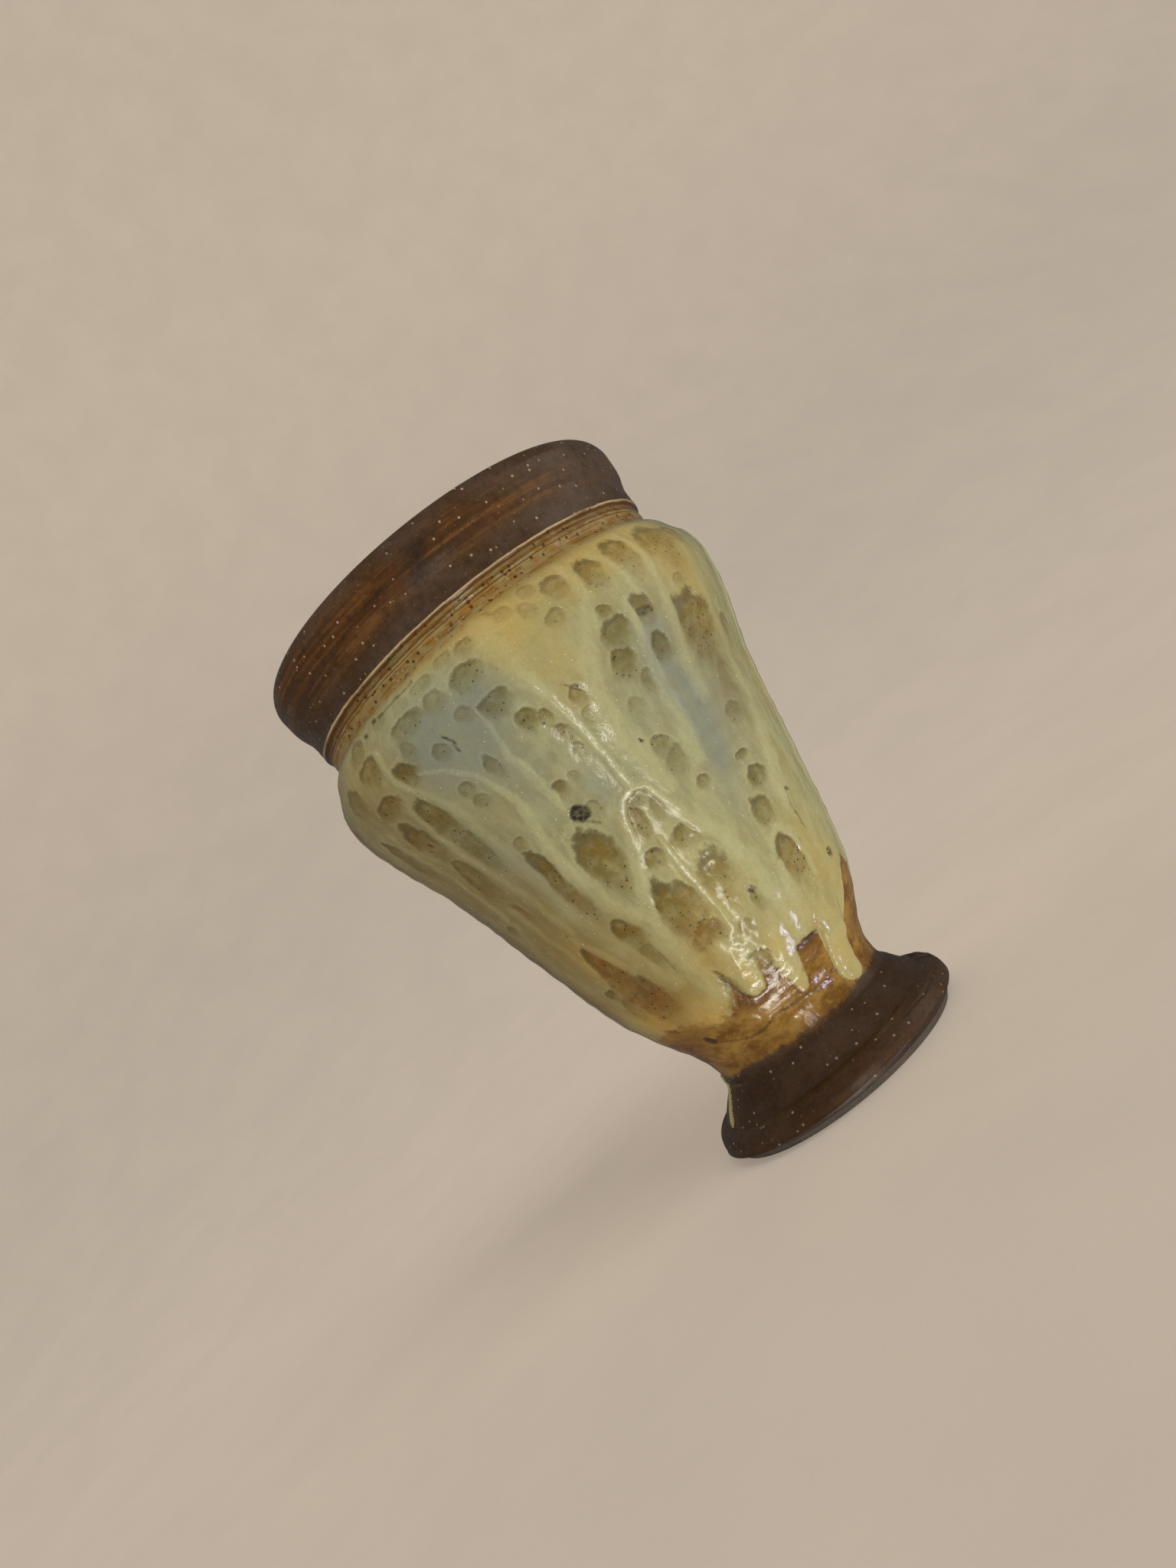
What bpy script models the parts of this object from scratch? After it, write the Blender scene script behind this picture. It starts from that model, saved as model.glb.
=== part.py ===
"""Stoneware vase: a hollow turned foot, a tapering body, a grooved neck and a flared collar, with its glazes.

The vase stands on its foot ring at the origin, with its axis along +Z, and its decorated front faces -Y.
Each thrown part seats in the next on a stepped joint, and each coat of glaze lies on the clay that carries it.
All sizes are in metres.
"""

import math

import bmesh
import bpy

COLLECTION_NAME = "stoneware_vase"
CUTTERS_NAME = "cutters"

# Fits and turning
FIT_GAP = 0.0003
TURN_STEPS = 36
ROUND_STEPS = 6
MERGE_DISTANCE = 0.00001
SHARP_ANGLE = math.radians(40)

# Coats of glaze and the clay under them
GLAZE_COAT = 0.0007
LINER_COAT = 0.0006
CLAY_WALL = 0.0043

# Foot
FLANGE_RADIUS = 0.0402
FLANGE_DEPTH = 0.0044
FLANGE_LIFT = 0.0010
FLANGE_HEIGHT = 0.0082
LEDGE_WIDTH = 0.0010
BASE_INSET = 0.0038
FOOT_RING_HEIGHT = 0.0018
WAIST_HEIGHT = 0.0189
WAIST_RADIUS = 0.0279
FOOT_WALL = 0.0046
TONGUE_WIDTH = 0.0017
TONGUE_LAP = 0.0011
SEAT_DROP = 0.0014
SPIGOT_DEPTH = 0.0040

# Body
BODY_HEIGHT = 0.1331
SHOULDER_RADIUS = 0.0644
FLOOR_THICKNESS = 0.0065
FLOOR_FILLET = 0.0070
FILLET_DEGREES = (0, 35, 65)
TONGUE_HEIGHT = 0.0022

# Neck, set in from the shoulder, and collar, which flares out from it
NECK_HEIGHT = 0.0063
NECK_INSET = 0.0079
NECK_STEP = 0.0006
GROOVE_COUNT = 3
GROOVE_PITCH = 0.0011
GROOVE_WIDTH = 0.00074
GROOVE_DEPTH = 0.00025
RIDGE_WIDTH = 0.0011
COLLAR_HEIGHT = 0.0217
LIP_FLARE = 0.0026
LIP_ROUND = 0.0036

# Lower edges of the glazes, above the waist
AMBER_LIFT = 0.0016
BODY_GLAZE_LIFT = 0.0176

# How far a drip reaches up under the pale glaze's edge, and how round it is
DRIP_MARGIN = 0.0060
DRIP_SMOOTHNESS = 7
DRIP_END_DEGREES = (30, 50, 65, 78)
CUTTER_HEIGHT = 0.0180

# The shoulder's outline from the neck down: share of the body's height, share of the way in to the neck
SHOULDER_SHAPE = ((1.0, 1.0), (0.965, 0.5), (0.93, 0.175))
# The wall's outline from shoulder to waist: share of the body's height, share of the way out to the shoulder
WALL_SHAPE = (
    (0.885, 1.0),
    (0.83, 0.965),
    (0.758, 0.877),
    (0.66, 0.740),
    (0.50, 0.595),
    (0.34, 0.450),
    (0.235, 0.340),
    (0.155, 0.220),
    (0.095, 0.095),
    (0.045, 0.012),
    (0.0, 0.0),
)
# The collar's outline from lip to ridge: share of its height below the lip, share of its flare
COLLAR_SHAPE = ((1.0, 1.0), (0.74, 0.96), (0.46, 0.40), (0.22, 0.05), (0.0, 0.0))
# The pedestal's outline from below the waist to the ledge: share of its height, share of its flare
PEDESTAL_SHAPE = ((0.74, 0.12), (0.46, 0.44), (0.20, 0.82), (0.0, 1.0))

# Each drip: degrees round from the front, height of its tip above the waist, width and thickness
DRIPS = {
    "drip_right": (38, 0.0023, 0.0072, 0.0017),
    "drip_middle": (9, 0.0081, 0.0058, 0.0012),
    "drip_left": (-30, 0.0111, 0.0090, 0.0012),
    "side_run": (-80, -0.0084, 0.0040, 0.0010),
}

# Colour, roughness and clear coat of each finish
FINISHES = {
    "bare_stoneware": ((0.42, 0.33, 0.25), 0.85, 0.0),
    "umber_glaze": ((0.080, 0.045, 0.030), 0.30, 0.3),
    "foot_glaze": ((0.045, 0.027, 0.022), 0.28, 0.3),
    "amber_glaze": ((0.33, 0.19, 0.06), 0.20, 0.5),
    "running_glaze": ((0.42, 0.41, 0.25), 0.15, 0.6),
    "drip_glaze": ((0.50, 0.45, 0.18), 0.15, 0.6),
    "liner_glaze": ((0.20, 0.16, 0.09), 0.25, 0.4),
}

# Heights, radii and depths that follow from the sizes above
CLAY_DEPTH = GLAZE_COAT + FIT_GAP
CLAY_INNER_DEPTH = CLAY_DEPTH + CLAY_WALL
LINER_DEPTH = CLAY_INNER_DEPTH + FIT_GAP
INSIDE_DEPTH = LINER_DEPTH + LINER_COAT
FOOT_INNER_DEPTH = CLAY_DEPTH + FOOT_WALL
BASE_RADIUS = FLANGE_RADIUS - BASE_INSET
FLANGE_MIDDLE_RADIUS = FLANGE_RADIUS - FLANGE_DEPTH
LEDGE_RADIUS = FLANGE_MIDDLE_RADIUS - LEDGE_WIDTH
LEDGE_HEIGHT = FLANGE_LIFT + FLANGE_HEIGHT
FOOT_TONGUE_RADIUS = LEDGE_RADIUS - FOOT_INNER_DEPTH + TONGUE_WIDTH
RING_INNER_RADIUS = FOOT_TONGUE_RADIUS + FIT_GAP
FOOT_SEAT = FOOT_RING_HEIGHT + FIT_GAP
SOCKET_RADIUS = WAIST_RADIUS - FOOT_INNER_DEPTH
PEDESTAL_TOP = WAIST_HEIGHT - SEAT_DROP
CEILING_HEIGHT = PEDESTAL_TOP - SPIGOT_DEPTH
FLOOR_HEIGHT = CEILING_HEIGHT + FLOOR_THICKNESS
AMBER_EDGE = WAIST_HEIGHT + AMBER_LIFT
BODY_GLAZE_EDGE = WAIST_HEIGHT + BODY_GLAZE_LIFT
NECK_FOOT = WAIST_HEIGHT + BODY_HEIGHT
BODY_TOP = NECK_FOOT - CLAY_DEPTH
NECK_RADIUS = SHOULDER_RADIUS - NECK_INSET
BODY_TOP_RADIUS = NECK_RADIUS + NECK_STEP
RIDGE_RADIUS = NECK_RADIUS + RIDGE_WIDTH
RIDGE_HEIGHT = NECK_FOOT + NECK_HEIGHT
COLLAR_FOOT = RIDGE_HEIGHT + CLAY_DEPTH
LIP_RADIUS = RIDGE_RADIUS + LIP_FLARE
LIP_START = RIDGE_HEIGHT + COLLAR_HEIGHT - LIP_ROUND


def clear_scene():
    """Remove every object, and the collections that this script makes."""
    for obj in list(bpy.data.objects):
        bpy.data.objects.remove(obj, do_unlink=True)
    for name in (COLLECTION_NAME, CUTTERS_NAME):
        if name in bpy.data.collections:
            bpy.data.collections.remove(bpy.data.collections[name])


def new_collection(name):
    """Make a collection and link it to the scene."""
    collection = bpy.data.collections.new(name)
    bpy.context.scene.collection.children.link(collection)
    return collection


def new_material(piece, finish):
    """Make a piece's own Principled material from a finish."""
    colour, roughness, clear_coat = FINISHES[finish]
    material = bpy.data.materials.new(piece)
    material.use_nodes = True
    shader = material.node_tree.nodes["Principled BSDF"]
    shader.inputs["Base Color"].default_value = (*colour, 1.0)
    shader.inputs["Roughness"].default_value = roughness
    shader.inputs["Metallic"].default_value = 0.0
    shader.inputs["Coat Weight"].default_value = clear_coat
    material.diffuse_color = (*colour, 1.0)
    return material


# Outlines are lists of (radius, height) points that run over the lip and down the outside.


def lip_arc():
    """The rounded lip, from its inner side over the crest to its outer side."""
    half = INSIDE_DEPTH / 2
    middle = LIP_RADIUS - half
    angles = [math.pi * (1 - step / ROUND_STEPS) for step in range(ROUND_STEPS + 1)]
    return [(middle + half * math.cos(a), LIP_START + LIP_ROUND * math.sin(a)) for a in angles]


def collar_curve():
    """The collar's flare, from below the lip down to the ridge."""
    height = LIP_START - RIDGE_HEIGHT
    return [(RIDGE_RADIUS + LIP_FLARE * out, RIDGE_HEIGHT + height * up) for up, out in COLLAR_SHAPE]


def body_curve():
    """The shoulder, the tapering wall and the waist."""
    inset = SHOULDER_RADIUS - BODY_TOP_RADIUS
    swell = SHOULDER_RADIUS - WAIST_RADIUS
    shoulder = [(SHOULDER_RADIUS - inset * share, up) for up, share in SHOULDER_SHAPE]
    wall = [(WAIST_RADIUS + swell * share, up) for up, share in WALL_SHAPE]
    return [(radius, WAIST_HEIGHT + BODY_HEIGHT * up) for radius, up in shoulder + wall]


def pedestal_curve():
    """The flaring foot, from below the waist to the ledge on the flange."""
    height = WAIST_HEIGHT - LEDGE_HEIGHT
    flare = LEDGE_RADIUS - WAIST_RADIUS
    return [(WAIST_RADIUS + flare * out, LEDGE_HEIGHT + height * up) for up, out in PEDESTAL_SHAPE]


def flange_arc():
    """The rounded flange, from its ledge down to the foot ring."""
    half = FLANGE_HEIGHT / 2
    middle = FLANGE_LIFT + half
    angles = [math.pi * (0.5 - step / ROUND_STEPS) for step in range(ROUND_STEPS)]
    return [(FLANGE_MIDDLE_RADIUS + FLANGE_DEPTH * math.cos(a), middle + half * math.sin(a)) for a in angles]


def outside_line():
    """The whole finished outline, from the inner side of the lip to the bottom of the foot."""
    neck = [(NECK_RADIUS, RIDGE_HEIGHT), (NECK_RADIUS, NECK_FOOT)]
    foot = pedestal_curve() + flange_arc() + [(BASE_RADIUS, 0.0)]
    return lip_arc() + collar_curve()[1:] + neck + body_curve() + foot


def wall_line():
    """The outline without the neck's small steps, which the inside of the wall follows."""
    return collar_curve() + body_curve()


def foot_line():
    """The outline of the pedestal without its flange, which the foot's hollow follows."""
    return [(WAIST_RADIUS, WAIST_HEIGHT)] + pedestal_curve()


def direction(start, end):
    """The unit direction from one point to the next."""
    length = math.dist(start, end)
    return (end[0] - start[0]) / length, (end[1] - start[1]) / length


def sunk(line, depth, entry=(0.0, -1.0)):
    """The line moved by depth into the wall with square corners, as if it came in along entry and left downwards."""
    ways = [entry] + [direction(a, b) for a, b in zip(line, line[1:])] + [(0.0, -1.0)]
    moved = []
    for (radius, height), before, after in zip(line, ways, ways[1:]):
        normal_before = (before[1], -before[0])
        normal_after = (after[1], -after[0])
        spread = 1 + normal_before[0] * normal_after[0] + normal_before[1] * normal_after[1]
        radius += depth * (normal_before[0] + normal_after[0]) / spread
        height += depth * (normal_before[1] + normal_after[1]) / spread
        moved.append((radius, height))
    return moved


def coat_line(depth):
    """The whole finished outline, sunk by depth."""
    return sunk(outside_line(), depth, entry=(0.0, 1.0))


def crossing(line, height):
    """Where the line comes down through height: the index of its last point above, and the point there."""
    for index, (upper, lower) in enumerate(zip(line, line[1:])):
        if upper[1] >= height > lower[1] or upper[1] > height >= lower[1]:
            share = (upper[1] - height) / (upper[1] - lower[1])
            return index, (upper[0] + share * (lower[0] - upper[0]), height)
    raise ValueError(f"the outline has no point at height {height}")


def down_to(line, height):
    """The line from its start to where it comes down to height."""
    index, end = crossing(line, height)
    return line[: index + 1] + [end]


def from_height(line, height):
    """The line from where it comes down to height to its end."""
    index, start = crossing(line, height)
    return [start] + [point for point in line[index + 1 :] if math.dist(point, start) > MERGE_DISTANCE]


def between(line, top, bottom):
    """The stretch of the line between two heights."""
    return down_to(from_height(line, top), bottom)


def coat_section(top, bottom):
    """The section of a coat of glaze between two heights of the outside."""
    outer = between(coat_line(0.0), top, bottom)
    inner = between(coat_line(GLAZE_COAT), top, bottom)
    return outer + inner[::-1]


def bowl_line(depth, floor, fillet, top):
    """The inside of the wall at a depth, from the middle of the floor up to height top."""
    wall = between(sunk(wall_line(), depth), top, floor + fillet)
    middle = wall[-1][0] - fillet
    angles = [math.radians(degrees) for degrees in FILLET_DEGREES]
    corner = [(middle + fillet * math.sin(a), floor + fillet * (1 - math.cos(a))) for a in angles]
    return [(0.0, floor)] + corner + wall[::-1]


def wall_middle(height):
    """The radius of the middle of the clay wall at a height."""
    outer = crossing(coat_line(CLAY_DEPTH), height)[1][0]
    inner = crossing(sunk(wall_line(), CLAY_INNER_DEPTH), height)[1][0]
    return (outer + inner) / 2


# Sections are the closed outlines of the pieces, which turning sweeps round the axis.


def foot_ring_section():
    """The bare ring that the vase stands on."""
    outer = from_height(outside_line(), FOOT_RING_HEIGHT)
    return outer + [(RING_INNER_RADIUS, 0.0), (RING_INNER_RADIUS, FOOT_RING_HEIGHT)]


def foot_flange_section():
    """The coil of clay round the bottom of the pedestal."""
    top = LEDGE_HEIGHT - CLAY_DEPTH
    inner_radius = LEDGE_RADIUS - CLAY_DEPTH + FIT_GAP
    outer = [point for point in between(coat_line(CLAY_DEPTH), top, FOOT_SEAT) if point[0] > inner_radius]
    return outer + [(inner_radius, FOOT_SEAT), (inner_radius, top)]


def foot_pedestal_section():
    """The hollow flaring foot, with a tongue inside the foot ring and a socket for the body."""
    tongue_bottom = FOOT_SEAT - TONGUE_LAP
    outer = from_height(sunk(foot_line(), CLAY_DEPTH), PEDESTAL_TOP)
    hollow = from_height(sunk(foot_line(), FOOT_INNER_DEPTH), CEILING_HEIGHT)
    seat = [(outer[-1][0], FOOT_SEAT), (FOOT_TONGUE_RADIUS, FOOT_SEAT)]
    tongue = [(FOOT_TONGUE_RADIUS, tongue_bottom), (hollow[-1][0], tongue_bottom)]
    socket = [(SOCKET_RADIUS, CEILING_HEIGHT), (SOCKET_RADIUS, PEDESTAL_TOP)]
    return outer + seat + tongue + hollow[::-1] + socket


def body_section():
    """The thrown body: its floor and wall, a spigot below and a tongue above."""
    seat = PEDESTAL_TOP + FIT_GAP
    tongue_top = BODY_TOP + TONGUE_HEIGHT
    spigot_radius = SOCKET_RADIUS - FIT_GAP
    middle = wall_middle(BODY_TOP)
    inner = bowl_line(CLAY_INNER_DEPTH, FLOOR_HEIGHT, FLOOR_FILLET, tongue_top)
    outer = between(coat_line(CLAY_DEPTH), BODY_TOP, seat)
    spigot = [(spigot_radius, seat), (spigot_radius, CEILING_HEIGHT), (0.0, CEILING_HEIGHT)]
    return inner + [(middle, tongue_top), (middle, BODY_TOP)] + outer + spigot


def neck_ring_section():
    """The turned band between shoulder and collar, with a groove below and a tongue above."""
    bottom = BODY_TOP + FIT_GAP
    groove_top = bottom + TONGUE_HEIGHT
    top = COLLAR_FOOT - FIT_GAP
    tongue_top = top + TONGUE_HEIGHT
    groove_radius = wall_middle(BODY_TOP) + FIT_GAP
    tongue_radius = wall_middle(top)
    outer = between(coat_line(CLAY_DEPTH), top, bottom)
    inner = between(sunk(wall_line(), CLAY_INNER_DEPTH), tongue_top, groove_top)
    groove = [(groove_radius, bottom), (groove_radius, groove_top)]
    return outer + groove + inner[::-1] + [(tongue_radius, tongue_top), (tongue_radius, top)]


def collar_section():
    """The flared collar and its rounded lip, with a groove below."""
    groove_top = COLLAR_FOOT + TONGUE_HEIGHT
    groove_radius = wall_middle(COLLAR_FOOT - FIT_GAP) + FIT_GAP
    outer = down_to(coat_line(CLAY_DEPTH), COLLAR_FOOT)
    inner = between(sunk(wall_line(), CLAY_INNER_DEPTH), LIP_START - FIT_GAP, groove_top)
    return outer + [(groove_radius, COLLAR_FOOT), (groove_radius, groove_top)] + inner[::-1]


def foot_glaze_section():
    """The dark coat over flange and pedestal."""
    return coat_section(AMBER_EDGE - FIT_GAP, FOOT_SEAT)


def amber_glaze_section():
    """The honey-brown band round the waist."""
    return coat_section(BODY_GLAZE_EDGE - FIT_GAP, AMBER_EDGE)


def body_glaze_section():
    """The pale running coat over the body."""
    return coat_section(NECK_FOOT, BODY_GLAZE_EDGE)


def neck_glaze_section():
    """The thin amber coat on the neck, with its fine turned grooves."""
    top = RIDGE_HEIGHT - FIT_GAP
    bottom = NECK_FOOT + FIT_GAP
    inner_radius = NECK_RADIUS - GLAZE_COAT
    groove_radius = NECK_RADIUS - GROOVE_DEPTH
    half = GROOVE_WIDTH / 2
    outer = [(NECK_RADIUS, top)]
    for number in range(1, GROOVE_COUNT + 1):
        middle = top - number * GROOVE_PITCH
        outer += [(NECK_RADIUS, middle + half), (groove_radius, middle), (NECK_RADIUS, middle - half)]
    return outer + [(NECK_RADIUS, bottom), (inner_radius, bottom), (inner_radius, top)]


def collar_glaze_section():
    """The dark coat over the outside of the collar and its lip."""
    return down_to(coat_line(0.0), RIDGE_HEIGHT) + down_to(coat_line(GLAZE_COAT), RIDGE_HEIGHT)[::-1]


def liner_glaze_section():
    """The coat inside, from the lip down to the floor."""
    top = LIP_START - FIT_GAP
    face = bowl_line(INSIDE_DEPTH, FLOOR_HEIGHT + FIT_GAP + LINER_COAT, FLOOR_FILLET - FIT_GAP - LINER_COAT, top)
    back = bowl_line(LINER_DEPTH, FLOOR_HEIGHT + FIT_GAP, FLOOR_FILLET - FIT_GAP, top)
    return face + back[::-1]


def drip_clearance_section():
    """A solid that holds the vase's outside below the pale glaze, with a gap, and a wide disc over its edge."""
    edge = BODY_GLAZE_EDGE - FIT_GAP
    disc_top = edge + CUTTER_HEIGHT
    disc = [(0.0, disc_top), (SHOULDER_RADIUS, disc_top), (SHOULDER_RADIUS, edge)]
    outside = from_height(coat_line(-FIT_GAP), edge)
    below = outside[-1][1] - DRIP_MARGIN
    return disc + outside + [(outside[-1][0], below), (0.0, below)]


TURNED_PIECES = {
    "foot_ring": (foot_ring_section, "bare_stoneware"),
    "foot_flange": (foot_flange_section, "bare_stoneware"),
    "foot_pedestal": (foot_pedestal_section, "bare_stoneware"),
    "body": (body_section, "bare_stoneware"),
    "neck_ring": (neck_ring_section, "bare_stoneware"),
    "collar": (collar_section, "bare_stoneware"),
    "foot_glaze": (foot_glaze_section, "foot_glaze"),
    "amber_glaze": (amber_glaze_section, "amber_glaze"),
    "body_glaze": (body_glaze_section, "running_glaze"),
    "neck_glaze": (neck_glaze_section, "amber_glaze"),
    "collar_glaze": (collar_glaze_section, "umber_glaze"),
    "liner_glaze": (liner_glaze_section, "liner_glaze"),
}


def finish_mesh(obj):
    """Replace the object's data with its evaluated mesh, smooth but for its sharp corners."""
    graph = bpy.context.evaluated_depsgraph_get()
    mesh = bpy.data.meshes.new_from_object(obj.evaluated_get(graph))
    mesh.name = obj.name
    obj.modifiers.clear()
    obj.data = mesh
    mesh.shade_smooth()
    mesh.set_sharp_from_angle(angle=SHARP_ANGLE)


def turned(name, section, collection):
    """Turn a section into a solid round the Z axis."""
    mesh = bpy.data.meshes.new(name)
    touches_axis = section[0][0] < MERGE_DISTANCE
    count = len(section)
    edges = [(index, (index + 1) % count) for index in range(count - 1 if touches_axis else count)]
    mesh.from_pydata([(radius, 0.0, height) for radius, height in section], edges, [])
    obj = bpy.data.objects.new(name, mesh)
    collection.objects.link(obj)
    turning = obj.modifiers.new("Turning", "SCREW")
    turning.axis = "Z"
    turning.angle = math.tau
    turning.steps = TURN_STEPS
    turning.render_steps = TURN_STEPS
    turning.use_merge_vertices = True
    turning.merge_threshold = MERGE_DISTANCE
    finish_mesh(obj)
    return obj


def make_cutter(collection):
    """Make the solid that cuts each drip back to the surface that it runs over."""
    cutter = turned("drip_clearance", drip_clearance_section(), collection)
    cutter.hide_render = True
    cutter.display_type = "WIRE"
    return cutter


def drip_points(tip, width, depth, radius):
    """The middle of a drip, sunk under the wall, as (radius, height, share of thickness) from its top to its tip."""
    path = sunk(body_curve() + pedestal_curve(), depth)
    start = BODY_GLAZE_EDGE + DRIP_MARGIN
    straight = between(path, start, tip + width / 2)
    points = [(*point, 1.0) for point in straight]
    across, down = direction(straight[-2], straight[-1])
    for degrees in DRIP_END_DEGREES:
        reach = radius * math.sin(math.radians(degrees))
        share = math.cos(math.radians(degrees))
        points.append((straight[-1][0] + reach * across, straight[-1][1] + reach * down, share))
    return points


def drip(name, collection, cutter):
    """A thick run of glaze: a round-ended tube sunk in the wall, cut back to the surface under it."""
    degrees, lift, width, thickness = DRIPS[name]
    radius = (width * width / 4 + thickness * thickness) / (2 * thickness)
    turn = math.radians(degrees)
    points = drip_points(WAIST_HEIGHT + lift, width, radius - thickness, radius)
    curve = bpy.data.curves.new(name, "CURVE")
    curve.dimensions = "3D"
    curve.bevel_depth = radius
    curve.bevel_resolution = DRIP_SMOOTHNESS
    curve.use_fill_caps = True
    spline = curve.splines.new("POLY")
    spline.points.add(len(points) - 1)
    for target, (reach, height, share) in zip(spline.points, points):
        target.co = (reach * math.sin(turn), -reach * math.cos(turn), height, 1.0)
        target.radius = share
    guide = bpy.data.objects.new(name + "_guide", curve)
    collection.objects.link(guide)
    graph = bpy.context.evaluated_depsgraph_get()
    mesh = bpy.data.meshes.new_from_object(guide.evaluated_get(graph))
    matrix = guide.matrix_world.copy()
    bpy.data.objects.remove(guide, do_unlink=True)
    shape = bmesh.new()
    shape.from_mesh(mesh)
    bmesh.ops.remove_doubles(shape, verts=shape.verts, dist=MERGE_DISTANCE)
    bmesh.ops.recalc_face_normals(shape, faces=shape.faces)
    shape.to_mesh(mesh)
    shape.free()
    obj = bpy.data.objects.new(name, mesh)
    obj.matrix_world = matrix
    collection.objects.link(obj)
    cut = obj.modifiers.new("Seat", "BOOLEAN")
    cut.operation = "DIFFERENCE"
    cut.solver = "EXACT"
    cut.object = cutter
    finish_mesh(obj)
    return obj


def main():
    """Build the vase."""
    clear_scene()
    pieces = new_collection(COLLECTION_NAME)
    cutters = new_collection(CUTTERS_NAME)
    for name, (section, finish) in TURNED_PIECES.items():
        turned(name, section(), pieces).data.materials.append(new_material(name, finish))
    cutter = make_cutter(cutters)
    for name in DRIPS:
        drip(name, pieces, cutter).data.materials.append(new_material(name, "drip_glaze"))


main()
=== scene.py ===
"""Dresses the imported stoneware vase: its running glazes, drips and bare clay, and the stage round it."""

import math

import bmesh
import bpy
import numpy as np
from bpy.props import FloatProperty, FloatVectorProperty, IntProperty, PointerProperty
from mathutils import Matrix, Vector


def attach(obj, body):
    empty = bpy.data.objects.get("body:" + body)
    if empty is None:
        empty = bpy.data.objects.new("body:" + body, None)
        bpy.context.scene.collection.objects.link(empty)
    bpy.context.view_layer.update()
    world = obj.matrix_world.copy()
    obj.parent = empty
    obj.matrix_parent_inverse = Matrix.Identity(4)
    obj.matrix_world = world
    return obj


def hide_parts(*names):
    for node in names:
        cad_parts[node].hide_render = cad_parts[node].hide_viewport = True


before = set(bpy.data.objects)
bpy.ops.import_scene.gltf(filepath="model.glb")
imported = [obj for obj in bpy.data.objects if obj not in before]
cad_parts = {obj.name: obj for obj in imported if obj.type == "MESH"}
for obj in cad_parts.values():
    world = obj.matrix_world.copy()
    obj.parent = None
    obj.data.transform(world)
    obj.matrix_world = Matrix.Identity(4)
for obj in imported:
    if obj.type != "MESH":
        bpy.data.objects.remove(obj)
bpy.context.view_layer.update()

bl_info = {
    "name": "Stoneware vase",
    "version": (1, 0, 0),
    "blender": (4, 5, 0),
    "location": "View3D > Sidebar > Vase",
    "description": "Builds the glazed surfaces, drips and studio stage of a drip-glazed stoneware vase",
    "category": "Object",
}

MM = 0.001

# The outside of the vase in millimetres, (radius, height), from inside the lip down to the table.
LIP_AND_COLLAR = (
    (54.0, 176.0), (54.1, 177.6), (54.9, 179.0), (56.1, 179.7), (57.3, 179.85), (58.5, 179.3),
    (59.5, 178.1), (60.1, 176.2), (60.2, 173.8), (60.0, 171.4), (59.3, 168.6), (58.5, 166.2), (57.9, 164.2),
    (57.6, 162.2), (57.45, 160.2),
)
NECK = (
    (57.45, 160.2), (57.6, 158.9), (57.5, 158.1), (57.25, 157.7), (56.55, 157.4), (56.35, 157.0),
    (56.7, 156.5), (56.75, 156.2), (56.4, 155.7), (56.4, 155.4), (56.65, 155.0), (56.5, 154.4),
    (56.35, 153.5), (56.5, 152.8), (57.0, 152.1),
)
BODY = (
    (57.0, 152.1), (58.9, 150.4), (60.5, 148.2), (62.0, 145.1), (63.3, 142.0), (63.9, 139.0),
    (63.95, 136.4), (63.7, 133.5), (63.1, 130.8), (61.6, 125.5), (59.7, 119.8), (57.2, 113.2),
    (54.8, 106.7), (52.8, 99.0), (50.9, 91.3), (49.1, 83.6), (47.3, 75.9), (45.4, 68.3), (43.4, 60.6),
    (41.5, 54.0), (39.4, 47.4), (37.3, 42.3), (34.9, 37.5), (32.6, 33.6), (30.5, 29.9), (29.1, 26.9),
    (28.2, 24.4), (27.75, 21.4), (27.85, 18.9), (28.75, 16.7), (30.5, 14.5), (32.2, 12.6), (33.9, 11.0),
    (34.9, 10.0), (35.2, 9.5),
)
FLANGE = (
    (35.2, 9.5), (36.3, 9.5), (37.6, 9.0), (38.6, 8.1), (39.3, 7.0), (39.8, 5.6), (40.0, 4.4), (40.2, 3.4),
    (39.6, 2.9), (38.4, 2.3), (37.5, 1.5), (36.9, 0.7), (36.5, 0.0),
)
# The stretches of the outside: points, longest step between rows, and how far their corners are rounded.
OUTSIDE = ((LIP_AND_COLLAR, math.inf, 0.7), (NECK, 0.2, 0.16), (BODY, math.inf, 1.6), (FLANGE, 0.35, 0.3))
# The inside, from the lip down to the middle of the floor, with its step and its rounding.
INSIDE = (
    (54.0, 176.0), (53.7, 173.5), (53.0, 170.0), (52.1, 166.0), (51.5, 162.0), (51.2, 157.0), (50.7, 150.5),
    (51.2, 147.5), (53.0, 144.8), (55.5, 141.2), (57.1, 137.5), (57.3, 134.5), (56.7, 130.5), (54.9, 125.0),
    (53.1, 120.0), (51.2, 114.8), (49.3, 110.0), (47.9, 105.0), (46.0, 97.5), (44.2, 90.0), (41.7, 80.0),
    (39.2, 70.0), (36.6, 60.0), (33.6, 50.5), (30.2, 42.4), (27.4, 37.2), (24.8, 32.2), (22.8, 28.0),
    (21.2, 24.4), (18.6, 22.0), (14.5, 21.0), (8.0, 20.7), (0.0, 20.6),
)
LINER_STEP = 1.0
LINER_BLUR = 1.4
# The bare ring under the flange: its inner side and its top.
RING_INNER = ((34.2, 0.0), (31.6, 0.0), (31.2, 0.5), (31.2, 1.7))
# The bare clay inside the pedestal, seen from below: down its back, then up the hollow to the body's floor.
PEDESTAL_CLAY = (
    (30.9, 8.0), (30.9, 1.0), (29.2, 1.0), (29.2, 7.6), (26.8, 9.9), (23.9, 13.5), (22.3, 13.5),
    (22.3, 14.3), (24.6, 14.3), (28.0, 10.4),
)
# Smoothed lines are worked out at this step, in millimetres.
FINE_STEP = 0.05

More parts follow.
